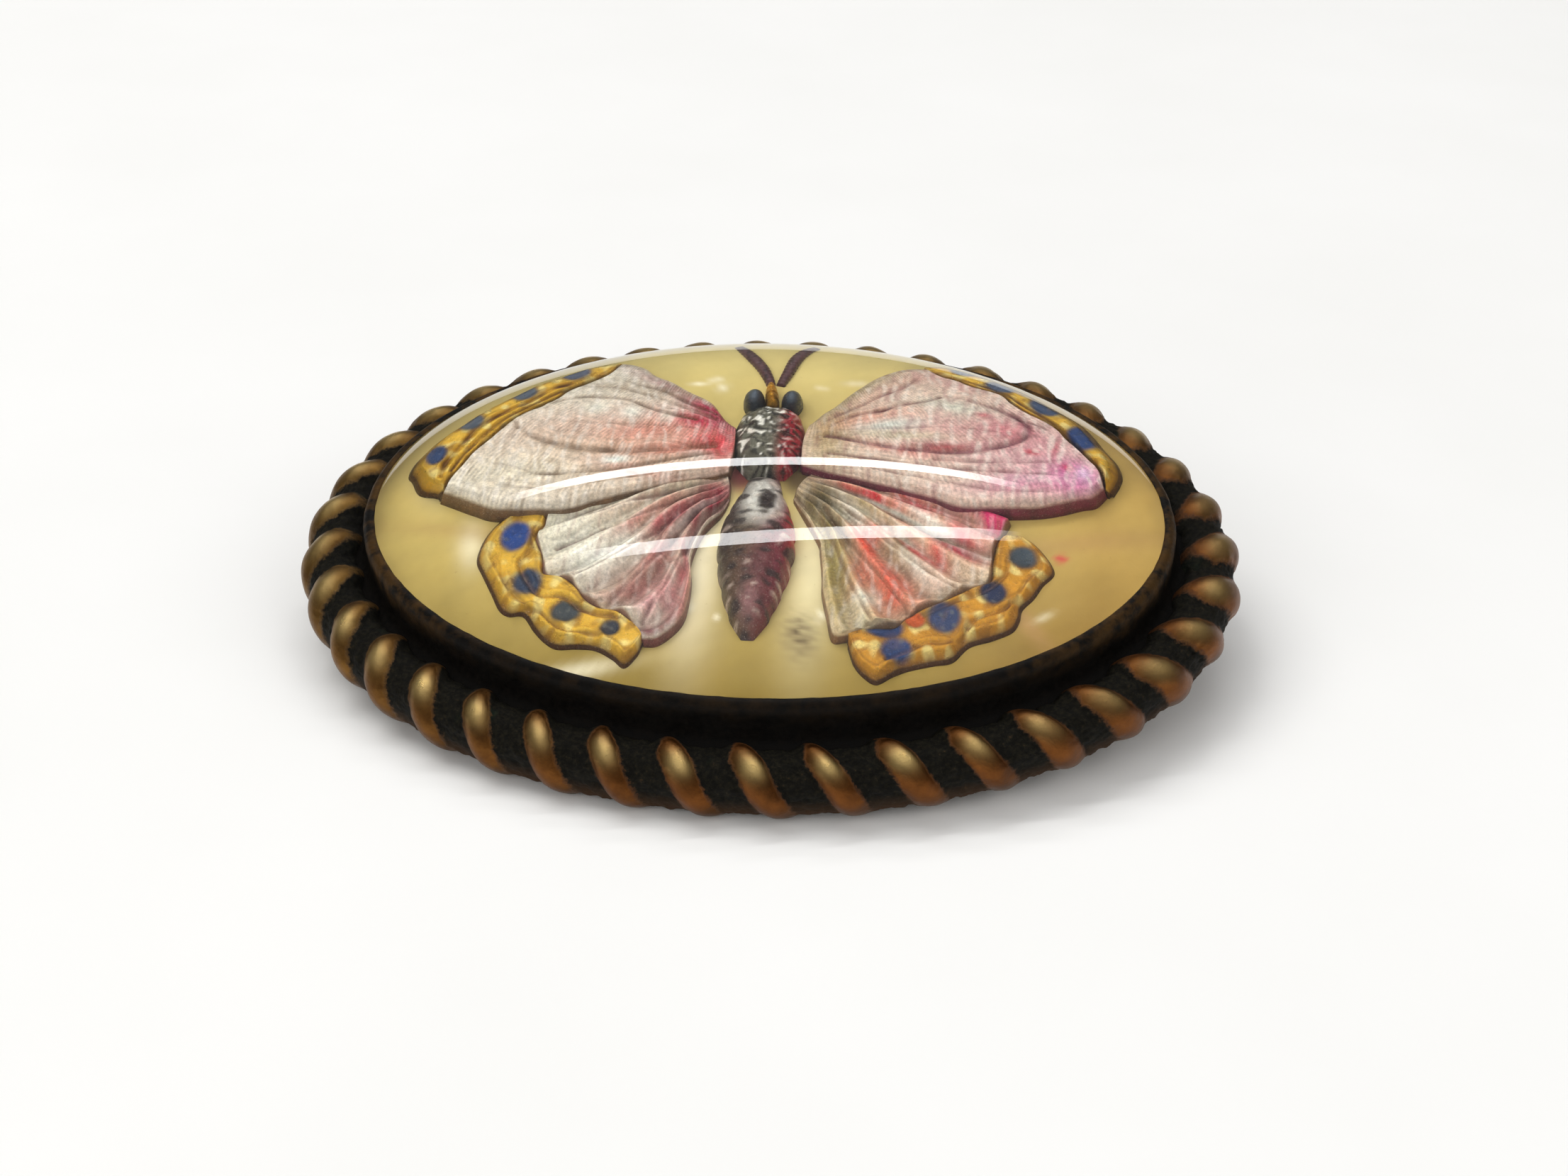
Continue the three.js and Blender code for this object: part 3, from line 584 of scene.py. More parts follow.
# ---- Reliefs ----
def closed_grid(name, xy, top, flare=0.12):
    """A relief: a grid of plan points with heights above the base, walls down to it, a flat underside.

    Returns the piece, its plan points, their heights and how far down the wall each one is, from 0 to 1.
    """
    levels, wall = top, np.zeros_like(top)
    walls = ((0.25, 0.3), (0.6, 0.4), (1.0, 0.3))  # how far down, and the share of the flare
    for _, share in walls:
        middle = xy
        xy = np.pad(xy, ((1, 1), (1, 1), (0, 0)), mode="edge")
        levels = np.pad(levels, 1, mode="edge")
        wall = np.pad(wall, 1, mode="edge")
        for edge, inner, outer in (
            (np.s_[0, 1:-1], middle[1], middle[0]), (np.s_[-1, 1:-1], middle[-2], middle[-1]),
            (np.s_[1:-1, 0], middle[:, 1], middle[:, 0]), (np.s_[1:-1, -1], middle[:, -2], middle[:, -1]),
        ):
            step = outer - inner
            xy[edge] += flare * share * step / np.maximum(np.linalg.norm(step, axis=-1, keepdims=True), 1e-9)
    for ring, (down, _) in enumerate(reversed(walls)):
        for edge in (np.s_[ring, ring:-ring or None], np.s_[-1 - ring, ring:-ring or None],
                     np.s_[ring:-ring or None, ring], np.s_[ring:-ring or None, -1 - ring]):
            levels[edge] *= 1 - down
            wall[edge] = down
    rows, columns = xy.shape[:2]
    vertices = np.concatenate([xy, (BASE + levels)[..., None]], axis=-1)
    faces = grid_faces(rows, columns)
    loop = list(range(columns))
    loop += [i * columns + columns - 1 for i in range(1, rows)]
    loop += [(rows - 1) * columns + j for j in range(columns - 2, -1, -1)]
    loop += [i * columns for i in range(rows - 2, 0, -1)]
    faces.append(tuple(reversed(loop)))
    i, j = rows // 2, columns // 2
    along, across = xy[i + 1, j] - xy[i, j], xy[i, j + 1] - xy[i, j]
    if across[0] * along[1] - across[1] * along[0] < 0:
        faces = [tuple(reversed(face)) for face in faces]
    return make_mesh(name, vertices.reshape(-1, 3), faces), xy, levels, wall


def coons(leading, margin, trailing, root, across, down):
    """A patch between four edges: two run outwards, and root and margin run from leading to trailing."""
    lead, trail = spline(leading, across)[:, None], spline(trailing, across)[:, None]
    inner, outer = spline(root, down)[None], spline(margin, down)[None]
    u = np.linspace(0, 1, across)[:, None, None]
    v = np.linspace(0, 1, down)[None, :, None]
    front_corners = (1 - u) * (1 - v) * lead[0, 0] + u * (1 - v) * lead[-1, 0]
    rear_corners = (1 - u) * v * trail[0, 0] + u * v * trail[-1, 0]
    patch = (1 - v) * lead + v * trail + (1 - u) * inner + u * outer - (front_corners + rear_corners)
    return patch, u[..., 0], v[..., 0]


def vein_relief(xy, veins, height):
    """Height and darkness of the carved veins, thinning out towards the margin: (points, width, depth)."""
    rise, dark = np.zeros(xy.shape[:-1]), np.zeros(xy.shape[:-1])
    for number, (points, width, depth) in enumerate(veins):
        line = raised(spline(points, 6 * len(points)), height)
        away, run = distance_to(xy, line)
        fade = np.clip(run / 0.22, 0, 1) ** 0.8 * (0.72 + 0.28 * ripple(xy, 1.3, 80 + number))
        wide = VEIN_WIDEN * width * (0.55 + 0.45 * fade)
        rise -= depth * fade * np.exp(-((away / wide) ** 2))
        rise += 0.4 * depth * fade * np.exp(-(((away - 2.1 * wide) / (1.1 * wide)) ** 2))
        # darker where the groove is deeper: partly the veins' own dark paint and partly painted shade in the
        # grooves
        dark = np.maximum(dark, min(depth * 4.2, 1) * fade * np.exp(-((away / (wide * 0.8)) ** 3)))
    return rise, np.clip(dark, 0, 1)


# How the two kinds of wing are carved and painted; sheen is the strength of a painted sheen. Pleats fan out
# from a hindwing's root.
FOREWING = {
    "height": 1.6, "across": 260, "pitch": 0.21, "ribbed": 1, "pleats": 0, "fold": 0, "sheen": 0.42,
    "grain": (0.07, 0.8),
}
HINDWING = {
    "height": 0.75, "across": 200, "pitch": 0.24, "ribbed": 0.5, "pleats": 6, "fold": 0.24, "sheen": 0.24,
    "grain": (0.08, 0.7),
}


def wing_paint(xy, u, v, tone, fan, marks, seed, grain):
    """A wing's colours: a base tone, streaks along its fan, touches in plan and a fine unevenness."""
    colour = touches(streaks(base_tone(xy, tone), u, v, fan), xy, marks)
    return colour * (1 + grain[0] * ripple(xy, grain[1], seed))[..., None]


def make_wing(name, edges, veins, kind, paint, wall):
    """A carved wing: veins, fine cross ribs, long fibres and, on a hindwing, pleats."""
    down, height, pleats = 140, kind["height"], kind["pleats"]
    leading, margin, trailing, root = (raised(edge, height) for edge in edges)
    xy, u, v = coons(leading, margin, trailing, root, kind["across"], down)
    rise, dark = vein_relief(xy, veins, height)
    run = np.cumsum(np.linalg.norm(np.diff(xy[:, down // 2], axis=0, prepend=xy[:1, down // 2]), axis=-1))
    patchy = np.clip(0.55 + 0.6 * ripple(xy, 1.8, 23), 0, 1) * kind["ribbed"]
    ribs = np.sin(2 * math.pi * run[:, None] / kind["pitch"] + 0.9 * ripple(xy, 1.6, 21) + 7 * v) * patchy
    fibres = np.sin(2 * math.pi * 24 * v + 1.5 * ripple(xy, 2.2, 24) + 0.5 * np.sin(9 * u))
    fibres *= 1 - 0.6 * patchy
    pleat = np.cos(2 * math.pi * pleats * v + 0.5 * ripple(xy, 4, 25)) if pleats else np.zeros_like(ribs)
    spread = np.clip(u / 0.15, 0, 1)
    across_wing = np.linalg.norm(xy[:, -1] - xy[:, 0], axis=-1)[:, None]
    edge = np.minimum(v, 1 - v) * across_wing
    top = height + rise + 0.026 * ribs + 0.016 * fibres
    top += kind["fold"] * pleat * spread + 0.06 * ripple(xy, 2.4, 22)
    top -= 0.4 * np.exp(-((edge / 0.2) ** 1.3)) + 0.3 * np.exp(-((u / 0.12) ** 2))
    piece, plan, levels, down_wall = closed_grid(f"{name}_relief", xy, np.maximum(top, 0.25))
    rings = (plan.shape[0] - xy.shape[0]) // 2
    u, v = (np.pad(field + 0 * ribs, rings, mode="edge") for field in (u, v))
    ribs, fibres, pleat, dark = (np.pad(field, rings, mode="edge") for field in (ribs, fibres, pleat, dark))
    colour = wing_paint(plan, u, v, *paint, kind["grain"]) * PEARL_CAST
    mottle = 0.09 * ripple(plan, 1.0, 28, 16) + 0.07 * ripple(plan, 0.34, 29, 16)
    # painted shade and highlight: lighter and darker along the ribs, fibres and pleats of the relief; the
    # mottle is the paint's own unevenness
    colour = colour * (1 + 0.15 * ribs + 0.1 * fibres + 0.24 * pleat + mottle)[..., None]
    # painted sheen: pale pearly strokes, with darker painted shade in the strokes between them
    strokes = ripple(plan * (2.4, 0.55) + 0.3 * ripple(plan, 1.5, 32)[..., None], 0.9, 30, 24)
    sheen = np.clip(1.3 * strokes - 0.1, 0, 1) * kind["sheen"] * np.clip(0.25 + 2 * u, 0, 1)
    colour = mix(colour, srgb(250, 244, 236), sheen)
    colour = mix(colour, wall * 1.6, np.clip(-1.5 * strokes - 0.4, 0, 1) * 0.26)
    # dark veins: partly their own paint and partly painted shade in the grooves
    colour = mix(colour, wall * 0.72, dark * 0.92)
    # the low parts and walls take the darker wall colour: partly the paint on the carved walls and partly
    # painted shade at their foot
    low = np.clip(1 - levels / (0.7 * height), 0, 1)
    colour = mix(colour, wall * (1 + 0.25 * ripple(plan, 0.7, 26))[..., None], low + 3 * down_wall)
    give_colour(piece, np.clip(colour, 0, 1))
    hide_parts(name)
    return piece


def make_border(wing, side, drawing, height, tone):
    """A gold strip between a wing's margin and its own outer edge, with enamelled spots sunk into it."""
    across, down = 50, 280
    inner, outer, spots, grooves = drawing
    inner, outer = (raised(spline(edge, down), height) for edge in (inner, outer))
    t = np.linspace(0, 1, across)[:, None, None]
    xy = (1 - t) * inner[None] + t * outer[None]
    rise, dark = vein_relief(xy, grooves, height)
    width = np.linalg.norm(outer - inner, axis=-1)[None, :]
    edge = np.minimum(t[..., 0], 1 - t[..., 0]) * width
    top = height + rise + 0.08 * np.exp(-(((edge - 0.25) / 0.14) ** 2)) + 0.05 * ripple(xy, 1.5, 31)
    top -= EDGE_DROP * height * np.exp(-((edge / 0.2) ** 1.4))
    for x, y, wide, tall, _ in spots:
        cx, cy = raised((x, y), height)
        top -= 0.08 * dab(xy, cx, cy, wide / 2, tall / 2, 0, 3)
    piece, plan, levels, down_wall = closed_grid(f"{wing}_{side}_edge", xy, np.maximum(top, 0.2), 0.14)
    rings = (plan.shape[0] - xy.shape[0]) // 2
    crease = np.pad(np.exp(-(((edge - 0.42) / 0.1) ** 2)), rings, mode="edge")
    dark = np.pad(dark, rings, mode="edge")
    colour = layered(plan, tone, (
        # painted highlights: pale gold patches
        ((255, 236, 150), 0.85 * np.clip(1.6 * ripple(plan, 1.1, 33) - 0.2, 0, 1)),
        ((150, 96, 30), 0.5 * np.clip(1.6 * ripple(plan, 0.9, 34) - 0.5, 0, 1)),
        # dark lines in the crease and grooves: partly the border's own brown lines and partly painted shade
        # in them
        ((112, 72, 24), crease * 0.4 + dark),
    ))
    wobble = 1 + 0.16 * ripple(plan, 0.9, 35)
    scratches = np.clip(ripple(plan, 0.5, 36) * 1.6 - 0.9, 0, 1)
    for x, y, wide, tall, tint in spots:
        cx, cy = raised((x, y), height)
        ring = dab(plan, cx, cy, wide / 2 + 0.16, tall / 2 + 0.16, 0, 3) * wobble
        colour = mix(colour, srgb(104, 74, 36), ring * 0.75)
        inside = dab(plan, cx, cy, wide / 2 + 0.04, tall / 2 + 0.04, 0, 4) * wobble
        colour = mix(colour, srgb(*tint), inside * 1.1)
        colour = mix(colour, srgb(140, 144, 136), inside * scratches * 0.35)
    low = np.clip(1 - levels / (0.55 * height), 0, 1)
    # darker towards the low parts and walls: partly the paint on the walls and partly painted shade at their
    # foot
    colour = mix(colour, srgb(150, 100, 38), np.clip(1 - levels / (0.85 * height), 0, 1))
    colour = mix(colour, srgb(80, 50, 24), 1.4 * low + 4 * down_wall)
    give_colour(piece, np.clip(colour, 0, 1))
    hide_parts(f"{wing}_border_{side}")
    piece.data.materials.append(bpy.data.materials["gold_paint"])


# ---- Butterfly drawing: outlines in plan ----
# A wing is its leading edge, margin, trailing edge and root. A vein is its points, width and depth.
FORE_LEFT = (
    [(-2, 5.2), (-2.7, 5.8), (-3.4, 6.9), (-4.6, 7.8), (-5.7, 8.7), (-6.6, 9.3), (-7.2, 10), (-7.9, 10.5),
     (-8.5, 10.7)],
    [(-8.5, 10.7), (-9, 9.5), (-10, 8.55), (-10.8, 8), (-11.4, 7.2), (-12.3, 6.55), (-13.3, 5.7),
     (-13.8, 4.9), (-14.2, 4.2), (-14.9, 3.2), (-15.3, 2.2), (-15.7, 1.4), (-15.9, 0.7)],
    [(-2, 2), (-4.5, 1.1), (-8, -0.1), (-9, -0.55), (-10, -0.8), (-11.2, -0.8), (-13, -0.7), (-14, -0.3),
     (-14.8, 0.1), (-15.9, 0.7)],
    [(-2, 5.2), (-1.9, 3.6), (-2, 2)],
)
FORE_LEFT_VEINS = (
    ([(-12, 6.8), (-11, 7.1), (-10, 7.3), (-8.8, 7.2), (-7.7, 7), (-6.8, 6.45), (-5.7, 5.9),
     (-4, 5.4)], 0.1, 0.22),
    ([(-13.9, 4.8), (-13.2, 6), (-12, 6.8)], 0.09, 0.18),
    ([(-8.3, 8.8), (-7, 8.2), (-5.7, 7.55), (-4.55, 6.7), (-3, 5.8)], 0.09, 0.18),
    ([(-10.3, 8.2), (-8.6, 8.1), (-7, 7.5), (-5.2, 6.6), (-3, 5.4)], 0.08, 0.14),
    ([(-12.95, 4.9), (-12.1, 4.2), (-11.2, 3.7), (-10, 3.3), (-8.8, 3.1), (-7.4, 3), (-6, 3.05),
     (-4.55, 3.2), (-2.9, 3.55)], 0.2, 0.34),
    ([(-13.3, 5.6), (-12.95, 4.9)], 0.1, 0.2),
    ([(-14.2, 2.3), (-13, 2.1), (-11.9, 1.55), (-11, 1.3), (-8, 1.5), (-5.4, 2.2), (-3, 2.9)], 0.1, 0.2),
    ([(-8, 1.45), (-6.2, 1.3), (-5.1, 1.6), (-3.4, 2.2)], 0.09, 0.18),
    ([(-13.6, 0.8), (-11, 0.3), (-8.4, 0.7), (-5.5, 1.3)], 0.08, 0.14),
    ([(-11.5, 5.4), (-9, 5.1), (-6.5, 4.9), (-4, 4.7)], 0.07, 0.1),
)
FORE_RIGHT = (
    [(1.7, 5.7), (2.2, 6.4), (2.8, 7.05), (3.4, 7.95), (4, 8.8), (4.55, 9.6), (5.2, 10.3), (6, 10.9),
     (7.1, 11.3)],
    [(7.1, 11.3), (7.9, 10.5), (8.8, 10.2), (9.55, 9.8), (11, 9.4), (11.55, 8.7), (12.3, 8.05), (13.1, 7.6),
     (13.9, 6.95), (14.4, 6.2), (15, 5.5), (15.55, 4.8), (16, 4.2), (16.2, 3.2)],
    [(1.5, 2.75), (3.2, 2.2), (5, 1.7), (6, 1.5), (7, 1.2), (8, 0.95), (9, 0.6), (10, 0.55), (11, 0.7),
     (12.8, 1.05), (14, 1.5), (15, 2.05), (15.7, 2.4), (16.2, 3.2)],
    [(1.7, 5.7), (1.45, 4.2), (1.5, 2.75)],
)
FORE_RIGHT_VEINS = (
    ([(8, 8.5), (9, 8.5), (10.1, 8.2), (11.1, 7.8), (12, 7.3), (12.55, 6.6), (12.4, 5.95), (12, 5.4),
     (11.1, 4.8), (10.1, 4.3), (9, 4), (8, 3.95), (7, 3.95), (6.1, 4), (4.4, 4.2), (2.6, 4.6)], 0.14, 0.28),
    ([(2.6, 5.2), (3.9, 6.2), (5, 6.7), (6.2, 7.4), (7.4, 7.95), (8, 8.4)], 0.09, 0.2),
    ([(2.4, 5.6), (4, 6.95), (5, 7.95), (6, 8.8), (6.8, 10)], 0.09, 0.18),
    ([(15, 3.2), (13.4, 3.2), (12, 3), (9, 2.8), (7, 2.8), (5, 3), (2.8, 3.3)], 0.09, 0.2),
    ([(14.6, 4.6), (12.6, 3.9), (10.5, 3.5), (8, 3.3)], 0.08, 0.14),
    ([(14, 2), (11, 1.6), (8, 1.9), (5, 2.3)], 0.08, 0.13),
    ([(13.7, 6.6), (12.9, 7), (12, 7.3)], 0.09, 0.18),
    ([(3.4, 5), (6, 5.5), (8.5, 5.9), (11, 6)], 0.07, 0.1),
)
HIND_LEFT = (
    [(-2.2, 2), (-5.1, 1.2), (-7.5, 0.2), (-9, -0.7), (-10.4, -1.3)],
    [(-10.4, -1.3), (-10.45, -2.1), (-10.7, -2.8), (-10.3, -3.8), (-10.1, -4.55), (-9.9, -5.1), (-9, -5.3),
     (-8.3, -5.9), (-7.8, -6.55), (-7.2, -7), (-6.2, -7.3), (-5.45, -7.9), (-4.9, -8.75)],
    [(-1.8, 0), (-2.1, -0.9), (-2.7, -1.9), (-3.05, -3), (-3.2, -4.1), (-3.05, -5.1), (-3.05, -6.3),
     (-3.2, -7.4), (-3.7, -8.2), (-4.3, -8.7), (-4.9, -8.75)],
    [(-2.2, 2), (-1.9, 1), (-1.8, 0)],
)
HIND_LEFT_VEINS = (
    ([(-2.4, 1), (-4.6, -0.6), (-6.8, -2), (-9.6, -3.6)], 0.09, 0.2),
    ([(-2.4, 0.6), (-4.2, -1.6), (-6.2, -3.6), (-8.6, -5.4)], 0.09, 0.18),
    ([(-2.5, 0), (-3.8, -2.4), (-5.2, -4.8), (-6.6, -6.9)], 0.09, 0.18),
    ([(-2.6, -1), (-3.5, -3.6), (-4.2, -6), (-5, -7.9)], 0.08, 0.16),
    ([(-3.4, 0.8), (-5.8, -0.3), (-8.2, -1.4), (-10.2, -2.2)], 0.08, 0.16),
)
HIND_RIGHT = (
    [(2, 2.1), (5.7, 1.4), (8.5, 0.7), (10.4, 0.3), (11.6, -0.1)],
    [(11.6, -0.1), (11, -1.95), (10.9, -3.05), (10.8, -4.2), (10.1, -4.6), (9.3, -5.2), (8.55, -5.7),
     (7.8, -6.2), (7.2, -6.7), (6.7, -7.3), (5.7, -7.5), (4.6, -8)],
    [(1.3, 0.3), (2.7, -2.3), (2.9, -3.05), (3.1, -4.4), (3.2, -5.5), (3.55, -6.9), (3.9, -8.05), (4.6, -8)],
    [(2, 2.1), (1.5, 1.2), (1.3, 0.3)],
)
HIND_RIGHT_VEINS = (
    ([(2.6, 1.4), (5.4, -0.2), (8, -1.6), (10.8, -2.6)], 0.09, 0.2),
    ([(2.4, 0.8), (4.8, -1.4), (7.2, -3.6), (9.4, -5.1)], 0.09, 0.2),
    ([(2.4, 0.2), (4.2, -2.6), (6, -5), (7.2, -6.6)], 0.09, 0.2),
    ([(2.4, -0.4), (3.7, -3.4), (4.6, -5.6), (5.6, -7.4)], 0.09, 0.2),
    ([(4, 1.2), (7, 0.2), (9.6, -0.8), (11.2, -1.6)], 0.08, 0.16),
)

# A border is its inner edge, outer edge, spots and grooves. A spot is its place, size and colour.
FORE_LEFT_BORDER = (
    [(-8.5, 10.65), (-8.9, 9.6), (-10, 8.6), (-10.8, 8.05), (-11.4, 7.25), (-12.3, 6.6), (-13.3, 5.75),
     (-13.8, 4.95), (-14.2, 4.25), (-14.9, 3.25), (-15.3, 2.25), (-15.7, 1.45), (-15.8, 0.7)],
    [(-8.7, 10.9), (-10, 10.7), (-11, 10.2), (-11.9, 9.6), (-13, 8.9), (-14.1, 7.9), (-15.1, 7.05),
     (-16, 6), (-16.8, 5.1), (-17.3, 4.3), (-17.7, 3.5), (-17.8, 2.7), (-17.5, 2.2), (-17, 1.3),
     (-16.2, 0.9)],
    [(-10.8, 9.8, 1.3, 1.3, (92, 102, 124)), (-13.2, 8.1, 1.1, 1.3, (92, 104, 120)),
     (-15.55, 5.8, 1.1, 1.3, (84, 96, 112)), (-16.9, 3.3, 0.95, 1.4, (44, 68, 112))],
    [([(-9.4, 9.9), (-10.8, 8.8), (-11.8, 8.3), (-12.8, 7.2), (-13.55, 6.7), (-14.4, 6), (-15.1, 5.2),
      (-15.55, 4.3), (-16, 3.2), (-16.3, 2.4), (-16.3, 1.6)], 0.13, 0.26),
     ([(-9.2, 9.4), (-10.6, 8.35), (-11.6, 7.75), (-12.7, 6.7), (-13.7, 5.9), (-14.5, 4.8), (-15.3, 3.3),
      (-15.8, 2)], 0.1, 0.18)],
)
FORE_RIGHT_BORDER = (
    [(7.1, 10.9)] + FORE_RIGHT[1][1:],
    [(7, 11.7), (7.8, 12.05), (8.4, 12.05), (9.3, 11.8), (10.4, 11.4), (11.55, 10.8), (12.3, 10.3),
     (13.1, 9.7), (14, 9.05), (14.9, 8.3), (15.55, 7.3), (16, 6.5), (16.55, 5.7), (16.8, 4.8), (16.7, 4.05),
     (16.4, 3.2)],
    [(9, 11.6, 1.1, 0.9, (84, 100, 124)), (11, 10.4, 1.4, 1.1, (80, 96, 124)),
     (13.3, 9.05, 1.4, 1.7, (58, 78, 114)), (15.2, 6.7, 1.4, 2, (36, 66, 122))],
    [([(7.8, 10.8), (9.6, 10.2), (11.2, 9.6), (12.4, 8.5), (13.9, 7.3), (15, 5.8), (15.9, 4.6),
      (16.2, 3.4)], 0.1, 0.16)],
)
HIND_LEFT_BORDER = (
    HIND_LEFT[1][:-1] + [(-4.95, -8.5)],
    [(-10.9, -1), (-11.9, -0.9), (-12.6, -1.5), (-13.1, -2.4), (-13.3, -3.2), (-13.3, -4), (-12.9, -4.8),
     (-12.3, -5.9), (-11.8, -6.8), (-11.3, -7.15), (-10.6, -7.2), (-10, -8), (-9.4, -8.65), (-8.8, -9),
     (-7.9, -9), (-7, -9.1), (-6.2, -9.55), (-5.6, -10), (-5.1, -9.4), (-4.9, -8.8)],
    [(-11.8, -2.8, 1.3, 1.7, (30, 68, 140)), (-10.8, -5.7, 1.3, 1.4, (44, 62, 92)),
     (-8.7, -7.5, 1.3, 1, (62, 70, 76)), (-6.5, -8.4, 0.8, 0.7, (46, 52, 66))],
    [([(-10.9, -1.9), (-11, -3.6), (-11.3, -4.6), (-10.2, -6.4), (-9, -6.6), (-7.8, -7.4),
      (-6.2, -7.8)], 0.11, 0.2),
     ([(-12.3, -4.2), (-11.9, -5.6), (-10.9, -6.8), (-9.8, -7.6), (-8.6, -8.5), (-7, -8.8)], 0.09, 0.14)],
)
HIND_RIGHT_BORDER = (
    [(11.3, -1.3)] + HIND_RIGHT[1][1:-1] + [(5.1, -7.6), (4.6, -7.9)],
    [(11.8, -1.3), (12.4, -1.1), (13, -1.6), (13.55, -2.4), (13.7, -3.05), (13.2, -3.8), (12.8, -4.6),
     (12.3, -5.3), (12.2, -5.95), (11.9, -6.6), (11, -7.2), (10, -7.7), (9.3, -8.6), (8.45, -8.9),
     (7.4, -9.3), (6.7, -9.7), (6, -10.2), (5.4, -9.9), (4.9, -9.3), (4.55, -8.4)],
    [(12.4, -2.6, 1.2, 1.2, (62, 76, 88)), (11.1, -4.95, 1.1, 1.2, (32, 46, 82)),
     (8.9, -6.7, 1.4, 1.6, (48, 66, 108)), (6.2, -7.7, 1.6, 0.9, (34, 60, 112)),
     (6.8, -8.8, 1.3, 1.2, (42, 68, 120)), (7.55, -7.05, 0.8, 0.8, (206, 96, 44))],
    [([(12.6, -3.9), (11.9, -5.6), (10.4, -6.6), (9.6, -7.9), (8, -8.4), (6.4, -9.4)], 0.09, 0.16),
     ([(11.6, -2.2), (11.6, -3.8), (10.2, -5.3), (9, -5.9), (7.8, -6.8)], 0.09, 0.14)],
)

# Touches of paint in plan: (x, y, half width, half height, turn, colour, amount).
FORE_LEFT_MARKS = (
    (-8, 2.5, 5, 2.6, 0, (222, 184, 160), 0.85), (-8.5, 5, 3.6, 1.2, 8, (226, 186, 172), 0.7),
    (-6.2, 4, 2, 0.8, 8, (224, 132, 116), 0.75), (-4.6, 2.7, 2.4, 0.5, 8, (222, 124, 110), 0.8),
    (-3.6, 4.8, 1.7, 0.6, -16, (200, 42, 76), 1), (-3, 3.6, 1.2, 0.5, 0, (222, 84, 92), 0.8),
    (-2.5, 3, 0.9, 1.1, 0, (206, 40, 62), 0.9), (-2.3, 5, 0.6, 0.5, 0, (206, 150, 150), 0.6),
    (-5.2, 7.2, 3.4, 0.45, -42, (158, 98, 104), 0.75), (-3.4, 5.8, 1.4, 0.45, -42, (176, 34, 76), 1),
    (-7.4, 7.6, 3.2, 0.4, -12, (190, 168, 150), 0.7), (-12.5, 1.2, 3.6, 1.1, 8, (240, 226, 206), 0.7),
    (-6, 1, 2.6, 0.5, -14, (206, 150, 140), 0.7), (-9.2, 6, 0.6, 0.5, 0, (238, 232, 220), 0.8),
    (-7.3, 5.6, 0.5, 0.5, 0, (240, 236, 228), 0.8), (-5.5, 5.3, 0.35, 0.5, 0, (236, 226, 214), 0.8),
    # the pure white touch at (-7.6, 1.8) is a painted glint
    (-7.6, 1.8, 0.55, 0.2, 5, (255, 255, 250), 1), (-10.4, 9, 0.8, 0.5, 0, (206, 192, 172), 0.6),
    (-3.6, 2.2, 0.5, 0.3, 0, (240, 226, 220), 0.7),
)
FORE_RIGHT_MARKS = (
    (12.4, 4.4, 3.2, 2.6, 0, (224, 170, 180), 0.85), (9.6, 5.2, 2.8, 1.2, 0, (216, 158, 156), 0.7),
    (2.6, 4.4, 1.1, 2.2, 0, (176, 152, 104), 0.85), (4.6, 5.6, 1.8, 0.6, 26, (216, 132, 108), 0.6),
    (4, 8.2, 3.6, 0.5, 52, (166, 148, 112), 0.7), (5.6, 8.6, 2.6, 0.5, 46, (196, 138, 120), 0.5),
    (5.6, 5.3, 1.3, 0.4, 18, (222, 222, 216), 0.9), (9, 7.3, 1.8, 0.5, -8, (206, 204, 190), 0.85),
    (6.4, 4.6, 2, 0.3, 4, (200, 190, 160), 0.6), (8.4, 3.9, 1.3, 0.3, 6, (168, 44, 56), 0.85),
    (6.2, 3.4, 1.6, 0.3, -8, (214, 96, 90), 0.6), (11.4, 5.9, 1.2, 0.6, -40, (206, 90, 110), 0.6),
    (12.3, 6.4, 1.1, 0.3, -50, (178, 80, 104), 0.7), (14.8, 2.9, 1.2, 1, 30, (206, 70, 158), 0.95),
    # the pale pink touch at (15.3, 3.2) is a painted glint on the magenta
    (15.3, 3.2, 0.35, 0.5, 0, (240, 200, 236), 0.9), (11.6, 1.7, 2.2, 0.6, 10, (208, 96, 150), 0.75),
    (9.2, 1.7, 1.8, 0.6, 4, (232, 206, 190), 0.7), (12.9, 2.3, 1.6, 0.35, 12, (236, 190, 206), 0.6),
    (12.7, 4.3, 0.32, 0.2, 0, (200, 30, 66), 0.95), (14.5, 3.5, 0.3, 0.24, -50, (196, 30, 90), 0.9),
    (13.9, 4.9, 0.14, 0.7, -10, (204, 60, 90), 0.6), (10.2, 6.9, 0.3, 0.2, 0, (206, 70, 90), 0.7),
    (8.6, 9.6, 1.6, 0.5, -20, (214, 150, 150), 0.5),
)
HIND_LEFT_MARKS = (
    (-2.5, 0.5, 0.6, 0.6, 0, (166, 26, 58), 0.9), (-4.35, -1.45, 1.3, 0.3, 43, (178, 80, 90), 0.7),
    (-5, -4.2, 1.2, 0.35, 43, (200, 122, 122), 0.7), (-6.5, -5.4, 1.3, 0.7, 20, (170, 128, 112), 0.75),
    (-4.2, -6.3, 0.8, 0.8, 0, (196, 132, 130), 0.7), (-8.1, -4.3, 1.2, 1.1, 0, (248, 242, 232), 0.75),
    (-9.1, -2.6, 1, 1.1, 0, (238, 228, 214), 0.7), (-7, -0.9, 1.6, 0.4, 25, (226, 204, 190), 0.6),
)
